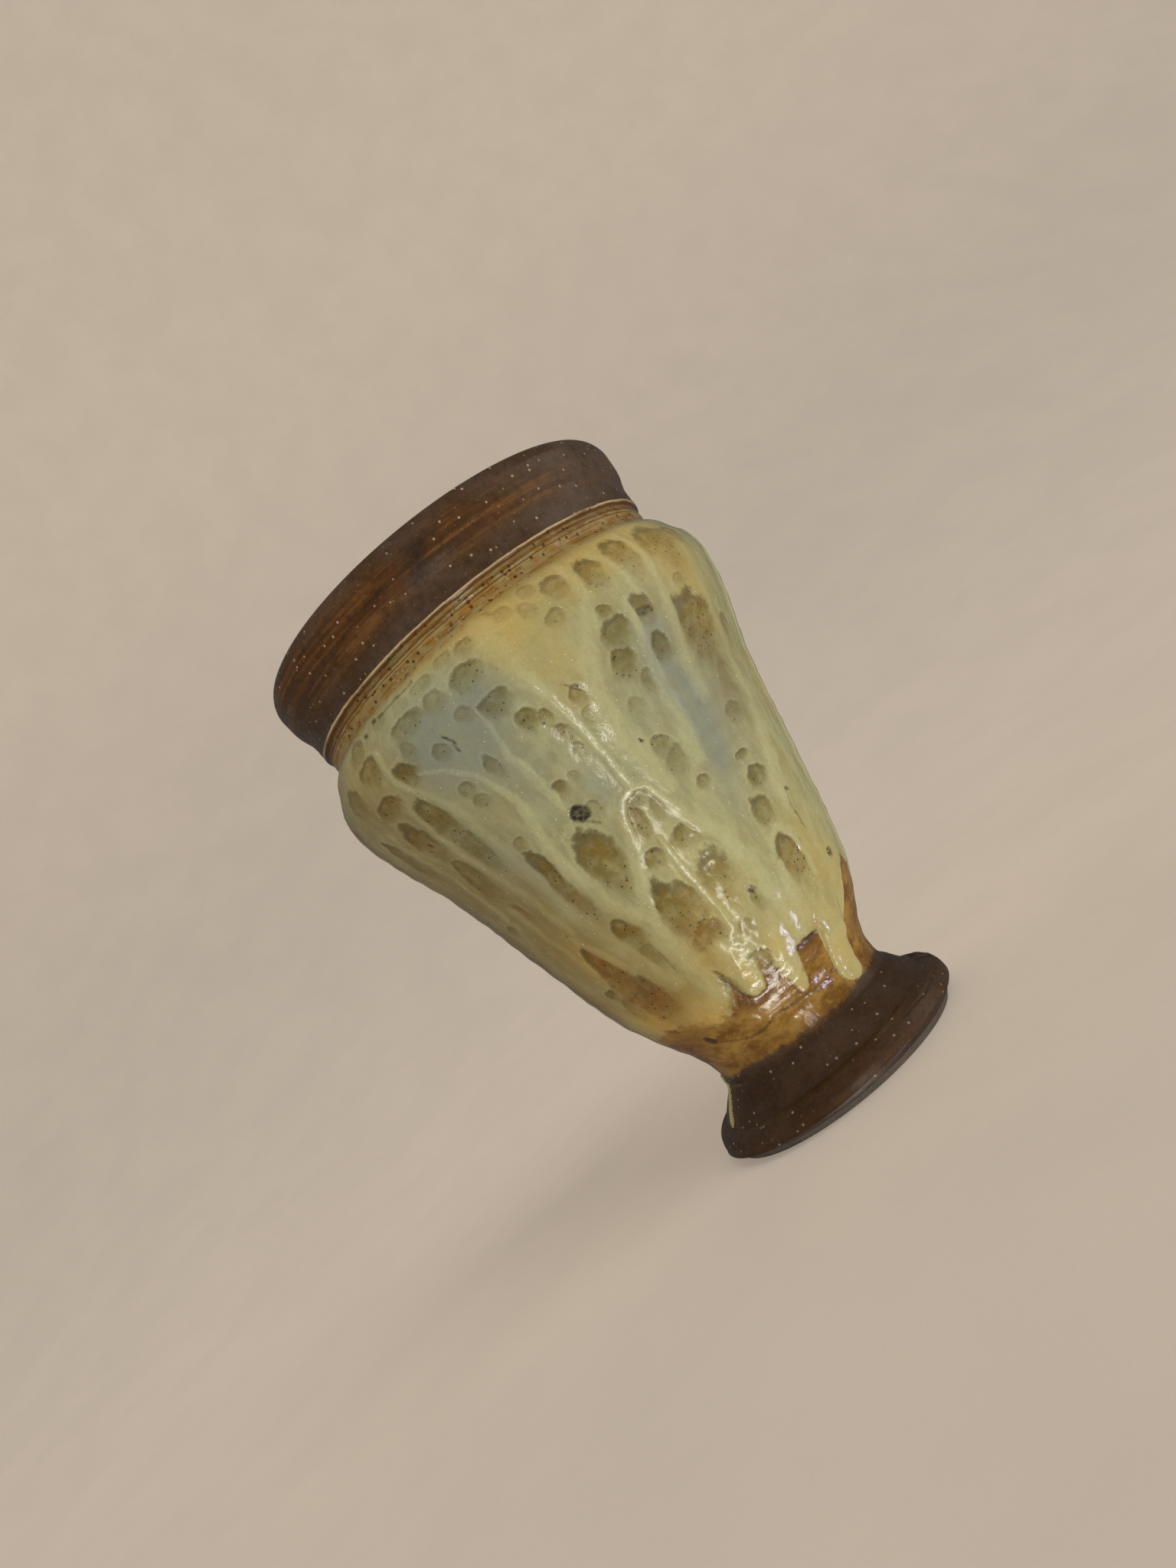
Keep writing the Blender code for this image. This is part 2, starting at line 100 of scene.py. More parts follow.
# Where one piece of the outside ends and the next begins, in millimetres above the table.
TOP = 180.0
COLLAR_END = 158.1
NECK_END = 152.1
SHOULDER_END = 95.0
BODY_END = 36.5
AMBER_END = 20.4
FOOT_END = 2.0
# The coats of the outside: the heights that they lie between, their look and slot, and what they replace.
COATS = {
    "collar_coat": (TOP, COLLAR_END, "collar_umber", "umber_glaze", ("collar_glaze",)),
    "neck_coat": (COLLAR_END, NECK_END, "neck_ochre", "amber_glaze", ("neck_glaze",)),
    "shoulder_coat": (NECK_END, SHOULDER_END, "running_ash", "running_glaze", ("body_glaze",)),
    "body_coat": (SHOULDER_END, BODY_END, "running_ash", "running_glaze", ("body_glaze",)),
    "amber_coat": (BODY_END, AMBER_END, "waist_amber", "amber_glaze", ("amber_glaze",)),
    "foot_coat": (AMBER_END, FOOT_END, "foot_umber", "foot_glaze", ("foot_glaze", "foot_flange")),
}
# In millimetres: a skin's thickness, a drip's reach into the glaze under it, the thickness at which a drip
# ends, the most that the outside may stand from the axis, and how near two points are made one.
SKIN_DEPTH = 0.5
DRIP_DEPTH = 0.15
DRIP_EDGE = 0.02
MOST_RADIUS = 64.3
SAME_POINT = 0.002
# The bare foot's clay is painted darker as shade, at this share of the clay's brightness, and its corners
# stay crisp over this angle.
FOOT_CLAY_SHADE = 0.32
CRISP_CORNER = math.radians(35)
# Hidden sides are coarser: they keep one row, or one column, out of so many.
SKIN_ROWS = 8
LINER_ROWS = 4
LINER_COLUMNS = 2
HOLLOW_COLUMNS = 4

# The foot was stuck on a little to the right: height, and how far its middle is moved, in millimetres.
FOOT_SHIFT = (
    (0, 0), (2, 0.2), (4.5, 0.45), (7, 0.4), (9, 0.1), (11, 0), (12.6, 0.4), (14.5, 1.0), (16.2, 1.45),
    (17.1, 1.4), (18, 0.8), (19.5, 0.65), (21.4, 0.45), (26, 0),
)
# The heights between which the flange's tilt comes in and goes out again.
TILT_IN = (0.5, 5.0)
TILT_OUT = (17.0, 9.0)

# Raised pale runs: points of (degrees from the front, height, half width), then how far they stand out.
RUNS = (
    (((0, 152, 2.4), (0, 140, 2.6), (1.5, 127, 1.7), (3.0, 115, 0.9), (3.8, 104, 0.8),
     (3.4, 96, 1.0)), 0.42),
    (((3.6, 95.4, 0.6), (-0.5, 94.6, 0.7), (-3.4, 91, 0.9), (-6, 84, 1.5), (-11, 77, 1.6),
     (-16.5, 71, 1.8), (-18.5, 62, 2.2), (-19, 50, 2.6), (-19.5, 42, 2.4)), 0.28),
    (((3.6, 95.4, 0.6), (6.8, 94.4, 0.8), (9.6, 87, 1.3), (13, 80, 1.5), (17.6, 73, 1.7), (20, 64, 2.0),
     (21, 52, 2.6), (22, 43, 3.0)), 0.26),
    (((-38.6, 142, 1.1), (-39.4, 134, 1.0), (-37, 127, 1.2), (-34, 120, 1.4), (-33.6, 110, 1.6),
     (-34.5, 98, 2.2), (-35, 84, 2.2), (-33, 66, 2.2), (-29, 52, 2.4)), 0.36),
    (((-33, 131, 0.3), (-28.8, 128, 0.6), (-22.6, 122, 0.8), (-20, 112, 1.0), (-20.8, 104, 1.3),
     (-23, 98, 1.5)), 0.18),
    (((-23, 100, 1.4), (-24, 88, 2.0), (-23, 77, 1.7), (-19.8, 71, 1.6)), 0.42),
    (((-57.5, 127, 1.2), (-58.5, 117, 1.1), (-57.5, 104, 1.1), (-57.5, 92, 1.2)), 0.3),
    (((-43.5, 126.5, 0.9), (-44.6, 116, 1.0), (-45, 109, 1.1), (-43, 99, 1.4), (-41.5, 86, 1.6),
     (-40, 78, 1.4)), 0.34),
    (((-11.6, 133, 0.25), (-12, 128, 0.5), (-13.6, 120, 0.8), (-13.4, 112, 1.1), (-12.4, 106, 1.0),
     (-12.8, 102, 0.4)), 0.14),
    (((23.4, 148, 1.3), (22.8, 140, 1.2), (20, 133, 1.6), (13, 124, 2.2), (10, 110, 2.6),
     (11, 100, 2.6), (12, 90, 1.6)), 0.26),
    (((32.4, 147.5, 1.0), (33.8, 137, 1.0), (34.4, 132, 1.1)), 0.28),
    (((42.6, 148, 1.2), (43, 139, 1.1), (42, 130, 1.2), (39.5, 121, 1.5), (37.6, 112, 1.8),
     (37, 103, 2.0)), 0.36),
    (((29.4, 131, 0.9), (28.6, 122, 1.1), (27.6, 113, 1.5), (26, 102, 2.2), (24.5, 92, 2.2)), 0.3),
    (((57, 128, 1.5), (58, 112, 1.6), (57, 96, 2.0), (52, 84, 2.6), (46, 70, 2.6)), 0.24),
    (((-43.5, 74, 0.7), (-42.6, 77, 0.6), (-39.5, 70, 1.0), (-36, 61, 1.3)), 0.24),
    (((1.6, 82, 0.4), (1.3, 74, 0.55), (1.5, 66, 0.7), (1.8, 57, 0.8)), 0.34),
    (((-6.2, 52, 2.2), (-6.4, 46, 3.0), (-6.2, 40.8, 3.2)), 0.42),
    (((27.6, 60, 0.7), (31, 64.4, 0.7), (35, 65.6, 0.7), (39.8, 62, 0.8), (41.6, 56, 0.8),
     (41.4, 50, 0.8)), 0.24),
    (((28.4, 58, 1.0), (26.5, 50, 1.8), (26, 43.5, 2.2)), 0.2),
    (((-52, 92, 1.2), (-50.5, 76, 1.3), (-49, 66, 1.2)), 0.14),
    (((10.5, 33, 1.9), (11, 38, 2.2), (12.4, 46, 2.0)), 0.2),
    (((43, 33.0, 0.6), (48, 35.6, 0.6), (54, 40.2, 0.6), (59, 45, 0.7)), 0.3),
)
# Between how many half widths from its middle a run's colour comes in, and when it covers a thin place.
RUN_EDGE = (2.0, 0.3)
RUN_COVERS = (0.85, 0.25)
# Thin places that show the dark glaze beneath: degrees from the front, height, half width, half height,
# depth of colour, how brown it is, and how much wider it is at its top, if it is.
CELLS = (
    (-46, 146.6, 4.6, 2.9, 0.6, 0.2), (-43.5, 140.2, 5.4, 3.4, 0.9, 0.15),
    (-57.5, 138, 4.8, 4.2, 0.65, 0.3), (-47, 131, 5.6, 2.8, 1.0, 0.8), (-35.7, 132.8, 4.2, 4.1, 1.0, 0.25),
    (-24.7, 130.6, 2.6, 2.3, 0.6, 0.1), (-50.2, 118.5, 4.2, 7.4, 0.95, 0.5),
    (-39.4, 119, 4.2, 8.4, 0.95, 0.2, 0.2), (-39, 108.6, 3.4, 7.4, 0.8, 0.05),
    (-50, 103, 3.6, 9.0, 0.75, 0.45), (-27.3, 120.6, 2.7, 2.2, 0.6, 0.1),
    (-26.7, 116.2, 2.7, 2.2, 0.5, 0.1), (-17.9, 120.2, 2.0, 3.6, 0.6, 0.1),
    (-4.6, 123.4, 2.9, 2.9, 1.0, 0.15), (-1.5, 121.0, 1.9, 2.3, 0.9, 0.1),
    (-0.7, 116.2, 2.0, 2.6, 0.8, 0.1), (-0.6, 110.6, 1.8, 2.4, 0.55, 0.1),
    (7.7, 120.2, 2.5, 2.7, 0.75, 0.2), (7.2, 115.4, 2.1, 2.0, 0.6, 0.2), (14, 137.7, 2.7, 2.8, 0.6, 0.3),
    (18.6, 144.2, 3.6, 3.8, 0.7, 0.45), (10.2, 143.4, 2.2, 3.0, 0.35, 0.5),
    (27.8, 141.2, 3.8, 5.4, 0.85, 0.5), (38.6, 141, 4.3, 6.6, 0.8, 0.5, 0.1),
    (51, 139, 7.0, 7.6, 0.75, 0.45), (-4.6, 145.8, 3.3, 2.6, 0.6, 0.4), (1.0, 142.8, 1.8, 2.4, 0.5, 0.5),
    (-1.4, 138.2, 1.9, 2.4, 0.5, 0.3), (-33.4, 147.8, 2.8, 1.8, 0.4, 0.3),
    (-27.2, 141.2, 5.4, 2.9, 0.7, 0.0), (-18.4, 140.4, 3.4, 2.8, 0.5, 0.0),
    (-8.6, 139.8, 4.9, 3.4, 0.75, 0.0), (-7.2, 130.4, 4.9, 3.2, 0.7, 0.0),
    (-14.6, 133.4, 2.8, 2.6, 0.45, 0.0), (-18.6, 146.8, 3.6, 1.6, 0.4, 0.3),
    (-30.6, 136.2, 2.4, 3.0, 0.45, 0.0), (23.6, 131.8, 2.4, 1.7, 0.75, 0.2),
    (23.2, 126.4, 4.0, 3.6, 0.85, 0.0, 0.2), (20.8, 119.4, 4.0, 3.8, 0.85, 0.1),
    (25, 113, 3.0, 3.2, 0.5, 0.0), (17.6, 110.4, 2.4, 2.6, 0.35, 0.0), (33, 127.6, 3.7, 4.2, 0.9, 0.0),
    (32.2, 117.6, 3.2, 3.8, 0.9, 0.0), (47.6, 117.2, 7.6, 9.4, 0.95, 0.25, 0.15),
    (48.4, 129.6, 2.0, 2.0, 0.5, 0.3), (50.5, 103, 3.6, 4.6, 0.35, 0.1),
    (-10.3, 105.8, 2.5, 2.3, 0.85, 0.15), (-5.4, 106.4, 1.4, 1.6, 0.4, 0.1),
    (16.9, 98.9, 3.0, 2.7, 0.65, 0.15), (19.4, 93.4, 3.6, 4.2, 0.5, 0.1), (22, 86, 2.4, 1.9, 0.8, 0.1),
    (45, 94.6, 3.2, 3.2, 0.5, 0.1), (39, 85.2, 2.6, 1.4, 0.85, 0.1), (40.3, 78.2, 4.3, 2.8, 0.95, 0.0),
    (-28.6, 88, 3.1, 11.5, 1.0, 0.35, 0.1), (-27.9, 103, 2.2, 1.9, 0.6, 0.15),
    (-14.8, 86.2, 4.6, 9.2, 1.0, 0.3), (-7.4, 96.8, 1.7, 2.7, 0.5, 0.4), (2.2, 92.6, 3.2, 2.3, 0.8, 0.1),
    (-1.2, 88.2, 2.6, 4.8, 0.95, 0.2), (6.2, 87.4, 2.0, 3.4, 0.5, 0.1), (-3.4, 78.6, 2.6, 2.6, 0.95, 0.2),
    (9, 78.6, 4.6, 2.6, 0.85, 0.15), (-25.4, 68.8, 3.2, 4.9, 1.0, 0.5),
    (-25.2, 60.5, 1.8, 4.5, 0.5, 0.4, 0.5), (34, 71.0, 3.1, 4.0, 0.85, 0.2),
    (-9.4, 65.8, 4.2, 9.4, 1.0, 0.4, -0.1), (-3.6, 64.8, 2.6, 6.6, 0.85, 0.5),
    (9, 66.4, 4.7, 6.8, 0.8, 0.25), (-42.6, 61, 4.6, 13.5, 1.0, 0.9, -0.5), (-41, 52, 6.2, 8.6, 0.95, 1.0),
    (-49.4, 88.6, 2.2, 4.6, 0.6, 0.95), (-53.2, 58.4, 2.6, 2.0, 0.95, 0.5),
    (-46.8, 59.6, 1.4, 1.3, 0.9, 0.4), (-51.6, 51, 3.0, 4.2, 0.5, 0.6), (35.3, 56.8, 4.9, 6.6, 0.95, 0.6),
    (-6.6, 56.6, 4.6, 5.0, 0.9, 0.95), (14.7, 55.6, 1.7, 3.4, 0.7, 0.3), (-15.4, 45.6, 1.9, 3.4, 0.8, 0.7),
    (-12.4, 41.4, 1.9, 3.4, 0.9, 0.8), (1.8, 42.6, 3.2, 3.4, 0.85, 0.6), (5.4, 51.4, 2.0, 3.0, 0.4, 0.5),
    (60.5, 141, 4.0, 3.5, 0.6, 0.2), (62.5, 113, 3.0, 4.0, 0.5, 0.1), (-63, 118, 3.2, 8.5, 0.8, 0.2),
    (-62, 88, 2.6, 2.0, 0.6, 0.6), (56.8, 50.6, 1.6, 1.5, 0.8, 0.5), (6, 146.8, 2.4, 2.2, 0.45, 0.4),
    (13.2, 148, 2.2, 1.8, 0.4, 0.5), (1.8, 149, 2.6, 1.4, 0.4, 0.4), (-10.8, 147.4, 2.8, 1.6, 0.4, 0.3),
)
# How many half widths from its middle a thin place reaches, and how many of them its edge takes.
CELL_REACH = 1.6
CELL_EDGE = 1.2
# Over which part of its edge it sinks, and how deep it is at its lower end, as a share of its depth.
CELL_SLOPE = (0.25, 0.8)
CELL_LOWER_END = 0.35
# Tints in the glaze: degrees, height, half width in degrees, half height, strength.
BLUE_ZONES = (
    (-23, 136, 9, 8, 1.0), (-9, 133, 7, 9, 0.9), (-19, 124, 9, 8, 0.8), (-30, 128, 5, 9, 0.5),
    (-14, 112, 8, 8, 0.5), (31, 108, 4.5, 7, 0.9), (33.5, 98, 5.5, 7, 1.0), (31.5, 88, 4, 6, 0.9),
    (29.5, 117, 4, 8, 0.6), (-38, 108, 5, 9, 0.4), (34, 122, 4, 6, 0.6), (-2.5, 101, 4, 7, 0.7),
    (24, 108, 13, 20, 0.3), (44, 104, 9, 18, 0.3), (8, 88, 5, 8, 0.3), (-33, 99, 4, 9, 0.4),
    (27, 79, 4, 7, 0.35), (-34, 84, 4, 9, 0.25),
)
WARM_ZONES = (
    (3, 147, 11, 6, 0.75), (1, 139, 6, 7, 0.65), (26, 143, 17, 7, 0.9), (-14, 151.5, 16, 3, 0.9),
    (40, 146, 12, 6, 0.8), (9, 130, 6, 9, 0.6), (52, 140, 10, 12, 0.9), (52, 124, 9, 12, 0.5),
    (-52, 145, 12, 7, 0.5), (9, 42, 7, 7, 0.7), (-28, 38, 10, 6, 1.0), (-5.8, 41, 4, 6, 0.8),
    (38, 30, 12, 11, 0.9), (3, 62, 14, 12, 0.6), (24, 45, 12, 6, 0.4), (-56, 44, 12, 6, 0.7),
    (45, 58, 16, 14, 0.45), (5, 83, 8, 9, 0.35), (54, 48, 10, 9, 0.5), (-45, 66, 10, 10, 0.4),
    (10.5, 30.5, 4, 5, 0.9),
)
TAN_ZONES = (
    (-42, 46, 22, 14, 1.0), (-12, 50, 8, 10, 0.6), (-47, 76, 16, 17, 0.55), (-26, 66, 9, 14, 0.35),
    (14, 150.5, 26, 4.5, 0.7), (-44, 138, 8, 9, 0.3), (-14, 86, 5, 9, 0.3), (-62, 110, 12, 22, 0.25),
    (30, 44, 12, 8, 0.15), (-74, 60, 14, 22, 0.5), (0, 9, 240, 10, 0.9), (-24, 172, 50, 7, 0.6),
    (-10, 58, 5, 9, 0.3), (-78, 98, 12, 44, 0.7),
)
# Mostly painted shade, with some of the glaze's own olive: these places darken both flanks, the left most
# and out to its edge, as if the light fell off there.
SHADE_ZONES = (
    (-52, 128, 12, 20, 0.7), (-52, 104, 12, 20, 0.75), (-60, 86, 14, 22, 0.7), (-62, 140, 9, 14, 0.6),
    (-50, 62, 12, 16, 0.6), (-34, 122, 10, 24, 0.45), (-33, 86, 9, 22, 0.55), (46, 110, 10, 20, 0.75),
    (60, 120, 8, 24, 0.5), (20, 122, 7, 9, 0.25), (-36, 52, 10, 10, 0.6), (44, 88, 10, 18, 0.2),
    (-46, 88, 9, 18, 0.4), (-37, 72, 11, 22, 0.4), (-22, 60, 8, 18, 0.3), (-78, 130, 11, 26, 0.7),
    (-78, 90, 12, 30, 0.7), (-74, 56, 10, 16, 0.6),
)
RUST_ZONES = (
    (3, 169.4, 6, 3.0, 0.5), (-54, 172, 13, 5.0, 1.0), (-37, 171, 11, 5.4, 1.0), (-21, 170.6, 9, 5.2, 1.0),
    (-10, 171, 6, 4.2, 1.0), (9, 170.6, 8, 4.4, 1.0), (20, 169, 10, 4.4, 1.0), (36, 168, 12, 4, 0.7),
    (-30, 166.4, 18, 2.0, 0.6), (0, 4.6, 90, 1.6, 0.35), (180, 4.6, 90, 1.6, 0.35),
    (-8, 19.4, 12, 1.5, 0.9), (16, 20.2, 18, 0.9, 0.6), (-5, 35.2, 11, 2.4, 1.0), (-13.5, 39, 3.5, 5, 0.7),
    (2.5, 38.6, 4.5, 4, 0.6), (22, 37.0, 6, 2.0, 0.9), (-48, 36, 11, 4.6, 1.0), (-64, 34, 10, 5, 0.6),
)
DARK_ZONES = (
    (-0.5, 170, 3.2, 3.6, 0.8), (3, 173.2, 4.5, 1.3, 0.7), (-3.6, 167, 2.4, 1.5, 0.75),
    (-16, 170.4, 4, 1.2, 0.5), (-42, 167.6, 12, 1.0, 0.4), (-5, 18.6, 3.4, 1.3, 0.5),
    (-14.5, 42.5, 1.6, 3.0, 0.35), (2.4, 41.0, 2.6, 2.4, 0.35), (-40, 54, 3.5, 6, 0.3),
    (33.4, 127, 1.6, 0.9, 0.9), (22, 38.0, 6, 0.9, 0.4),
)
# For each tint: its places, and the seed and the heights of the places drawn for the sides.
TINTS = {
    "blue": (BLUE_ZONES, 11, 90, 138),
    "warm": (WARM_ZONES, 12, 36, 150),
    # The shade entry is the painted shade of the flanks, drawn for the sides too.
    "shade": (SHADE_ZONES, 15, 60, 140),
    "tan": (TAN_ZONES, 17, 40, 80),
    "rust": (RUST_ZONES, 16, 167, 174),
}
# The lower edge of the pale glaze: degrees, height, how soft it is there.
PALE_EDGE = (
    (-180, 33, 1.6), (-170, 30, 1.2), (-163, 26.5, 0.9), (-157, 31, 1.2), (-150, 38, 1.8), (-140, 41, 2.0),
    (-131, 36, 1.6), (-122, 31, 1.4), (-116, 24.5, 0.8), (-111, 28, 1.0), (-104, 38, 1.8), (-96, 40, 2.0),
    (-88, 36, 1.6), (-80, 33, 1.5), (-72, 38, 2.0), (-66, 41, 2.0), (-58, 41, 1.6), (-50, 41.2, 1.6),
    (-43, 41, 2.6), (-38, 39.6, 3.6), (-36, 38.4, 4.4), (-33, 37.4, 5.0), (-28, 36.8, 5.4),
    (-22, 37.2, 5.0), (-19.5, 38.2, 4.0), (-17, 40, 3.4), (-15, 41.6, 3.0), (-13, 41.4, 2.6),
    (-11.4, 38.6, 1.8), (-9.8, 37.0, 1.1), (-7, 36.4, 0.9), (-4, 36.6, 0.9), (-2.2, 38.2, 1.4),
    (-0.8, 41, 2.2), (1.5, 43.2, 2.6), (3.6, 42.6, 2.6), (4.8, 38.5, 3.0), (6.6, 33, 3.0), (8.6, 30.2, 2.8),
    (12.6, 30.4, 2.6), (14.4, 34.5, 1.6), (15.6, 38.5, 0.9), (17, 39.2, 0.7), (22, 39.4, 0.6),
    (27, 38.9, 0.6), (29.4, 37.6, 0.7), (30.3, 33, 0.8), (32, 31.5, 0.9), (42, 32.2, 0.8), (46, 33.2, 0.7),
    (50, 36.2, 0.6), (55, 40.6, 0.6), (59, 45, 0.8), (66, 48, 1.2), (74, 44, 1.6), (82, 37, 1.4),
    (88, 30, 1.0), (93, 25.5, 0.8), (98, 30, 1.0), (106, 39, 1.6), (116, 42, 1.8), (126, 38, 1.6),
    (134, 33, 1.4), (141, 29, 1.0), (148, 34, 1.4), (158, 40, 1.8), (168, 38, 1.6), (180, 33, 1.6),
)
# How soft the edge has to be to be blurred as well, and over how many rows and columns it is.
BLURRED_EDGE = (0.7, 2.4)
EDGE_BLUR = (2, 4)
# Thick drips that lie over the darker glazes: thickness, how soft and how pale their colour is, where the
# coat above them ends, and points of (degrees, height, half width).
DRIPS = {
    "drip_right": (
        1.5, 0.15, 1.0, BODY_END, ((39.2, 40, 5.4), (38.8, 32, 4.5), (39.4, 28, 4.4), (39.8, 24.9, 4.4)),
    ),
    "drip_middle": (0.35, 0.9, 0.7, BODY_END, ((9.8, 38, 4.2), (10.2, 33, 3.6), (10.4, 30.6, 3.0))),
    "drip_left": (0.3, 1.0, 0.0, BODY_END, ((-29, 41, 4.6), (-28.5, 36, 3.8), (-28, 34.2, 3.4))),
    "side_run": (
        0.6, 0.15, 1.0, AMBER_END, ((-86, 19.4, 1.1), (-84, 17, 1.3), (-79, 13.6, 1.4), (-73.5, 10.8, 1.3)),
    ),
}
# A drip thins out in the coat above it over this height, and its section is a superellipse of this power.
DRIP_FADE = 9
DRIP_POWER = 2.6
# How much of a run's colour a drip has, and what it covers.
DRIP_RUN = 0.9
DRIP_COVERS = ("thin", "dark", "rust", "umber")
# Thin dark lines, pits and cracks: points, how dark, how deep in millimetres.
DARK_MARKS = (
    (((-11.3, 98.9, 2.2), (-10.8, 98.5, 2.2)), 1.0, 0.25),
    (((-10.4, 95.6, 0.35), (-8.6, 93.6, 0.3)), 0.7, 0.12),
    (((-22.0, 133.4, 0.3), (-21.0, 131, 0.35), (-21.2, 128, 0.3)), 1.0, 0.2),
    (((-43.8, 33.4, 1.3), (-43.0, 32.4, 1.3)), 0.85, 0.25),
    (((56.4, 50.9, 0.9), (57.4, 50.4, 0.7)), 1.0, 0.3),
    (((13, 103.4, 0.4), (13.3, 103.2, 0.35)), 1.0, 0.2),
    (((48.4, 71.4, 0.4), (50.2, 71.2, 0.3)), 0.9, 0.15),
    (((48.4, 70.6, 0.2), (47.6, 66, 0.25), (48.4, 60.5, 0.2)), 0.6, 0.12),
    (((31.6, 127.1, 1.0), (35.0, 126.8, 0.9)), 0.7, 0.2),
    (((-33, 148.9, 0.3), (-26, 149.2, 0.35), (-20, 149.4, 0.3)), 0.6, 0.14),
    (((-39.6, 148.2, 0.6), (-39.2, 148, 0.5)), 0.9, 0.1),
    (((-35.5, 149.6, 0.7), (-34.6, 149.2, 0.5)), 0.8, 0.1),
    (((15.6, 38.6, 0.45), (20, 39.3, 0.5), (28.6, 38.6, 0.45)), 0.9, 0.1),
    (((-42, 31, 0.25), (-36, 29.6, 0.3), (-27, 27.4, 0.3), (-19, 27.2, 0.3), (-8, 28.9, 0.3),
     (4, 28.3, 0.3), (14, 27.7, 0.3), (29, 27.7, 0.25)), 0.65, 0.2),
    (((-15, 46, 0.5), (-14.2, 43, 0.45), (-12.8, 39, 0.4)), 0.6, 0.08),
    (((13.7, 58.4, 0.35), (14.6, 57.4, 0.35)), 0.8, 0.1),
    (((-22.6, 60.5, 0.25), (-23.6, 55, 0.25)), 0.5, 0.06),
    (((-49.6, 118, 0.5), (-49.2, 117.4, 0.4)), 0.8, 0.1),
    (((6.4, 124, 0.2), (8.6, 121, 0.25)), 0.7, 0.06),
    (((84, 8.9, 0.9), (98, 8.7, 1.1)), 0.5, 0.5),
    (((79, 7.4, 0.3), (57, 7.7, 0.35), (42, 8.0, 0.35), (25, 8.1, 0.3), (0, 8.2, 0.4), (-35, 8.4, 0.4),
     (-60, 8.4, 0.35)), 0.45, 0.16),
    (((46, 2.6, 0.25), (33, 2.9, 0.25), (20, 2.9, 0.2)), 0.8, 0.2),
)
# The soft edge of a mark in millimetres, its most in half widths, and its rim as a share of its depth.
MARK_EDGE = 0.3
WIDEST_MARK_EDGE = 0.35
MARK_RIM = 0.4
# Painted highlights: very pale broken lines along the crests of runs, and strokes of glints, that stand in
# for reflected light: points of (degrees, height, half width).
PAINTED_GLINT_LINES = (
    ((3.1, 124, 0.25), (3.5, 115, 0.5), (3.9, 105, 0.55), (3.6, 97, 0.35)),
    ((-4.6, 88, 0.35), (-2.8, 92, 0.45), (-0.4, 94.5, 0.45), (2.6, 95.2, 0.4)),
    ((7.2, 93.4, 0.25), (9.0, 88, 0.3), (11.4, 83, 0.25)),
    ((1.4, 79, 0.25), (1.4, 70, 0.4), (1.6, 62, 0.3)),
    ((6.6, 69.6, 0.35), (8.8, 70.2, 0.5), (10.0, 69.6, 0.35)),
    ((7.4, 72.4, 0.3), (9.8, 72.2, 0.35)),
    ((9.3, 77.8, 0.35), (10.1, 77.0, 0.45)),
    ((-2.0, 52.5, 0.4), (1.5, 51.6, 0.3)),
)
# The lines round the neck: height, half width, and whether it is a cream ridge or a maroon groove.
NECK_LINES = (
    (158.5, 0.16, "cream"), (157.75, 0.45, "groove"), (156.25, 0.2, "groove"), (155.3, 0.14, "groove"),
)
# Where the neck's ochre starts, where the collar's umber starts, and where the foot's umber ends.
OCHRE_START = 151.6
COLLAR_LINE = (158.6, 158.8)
FOOT_LINE = 20.7
# Painted shade on the foot, darker towards the table: from one height down to another, and how much.
FOOT_SHADOWS = ((20, 17, 0.34), (11, 8, 0.1), (3.8, 2.8, 0.32))

# Soft noises over the vase: seed, degrees and millimetres between the points of its lattice, and strength.
RIPPLES = {
    "push_round": (3, 9, 7, 0.35),
    "fine_push_round": (4, 2.4, 2, 0.12),
    "push_up": (5, 9, 7, 0.22),
    "fine_push_up": (6, 2.4, 2, 0.06),
    "ragged": (7, 2.4, 2.0, 0.7),
    "fine_ragged": (8, 1, 0.9, 0.5),
    "neck_sway": (9, 25, 9, 0.06),
    "ochre_edge": (10, 40, 9, 0.9),
    "cream_gaps": (13, 7, 0.6, 1.0),
    "foot_edge": (14, 14, 9, 0.35),
    "throwing": (21, 40, 3.2, 0.6),
    "wobble": (22, 45, 45, 1.0),
    "waves": (23, 3, 3, 0.028),
    "dry_rings": (24, 30, 0.8, 0.02),
    "fine_waves": (25, 1.2, 1.1, 0.014),
    "crinkle": (26, 1.8, 1.3, 0.085),
    "liner_waves": (31, 12, 12, 0.05),
}
# How far the ragged noise moves the edge of each kind of feature.
RAGGED = {"cell": 0.07, "run": 0.12, "mark": 0.04, "pale": 0.2, "neck": 0.05, "foot": 0.3}
# The lattice of a soft noise, in millimetres, the points that a place on it draws on, and what brings it to
# about unit size.
LATTICE_START = -5
LATTICE_REACH = 200
LATTICE_POINTS = 4
LATTICE_GAIN = 2.1

# Rings left by throwing, in millimetres: their pitch outside, how it wanders, their pitch and depth inside.
RING_PITCH = 6.4
RING_WANDER = 1.3
WANDER_RATE = 0.21
LINER_RING_PITCH = 7.5
LINER_RING_DEPTH = 0.22
# The heights between which the inside's relief comes in over its floor, and dies out towards its lip.
LINER_RELIEF_IN = (22, 30)
LINER_RINGS_OUT = (176, 166)
LINER_RELIEF_OUT = (176.2, 172)
# The crinkled patch of glaze: degrees, height, half width and half height.
CRINKLED = (1, 50, 9, 15)
# How far the pale glaze stands out over the darker one at its lower edge, and where that starts.
PALE_STEP = 0.14
PALE_STEP_IN = (60, 44)
# Under this height the outside is flattened towards the table.
FLAT_FOOT = 3.2

# The invented sides, in degrees: the seed of their draws, between where their runs and their tints lie, and
# the gap between runs.
SIDE_SEED = 41
SIDE_RUNS = (72, 290)
SIDE_TINTS = (74, 286)
SIDE_GAP = 11.5
# The ranges that their runs are drawn from.
RUN_POINTS = 7
RUN_ASIDE = (-2, 2)
RUN_TOP = (126, 148)
RUN_LOW = (50, 96)
LONG_RUN_LOW = (42, 52)
RUN_WIDTH = (0.9, 1.4)
RUN_WANDER = (-2.2, 2.2)
RUN_HEIGHT = (0.24, 0.42)
RUN_WIDENING = 1.1
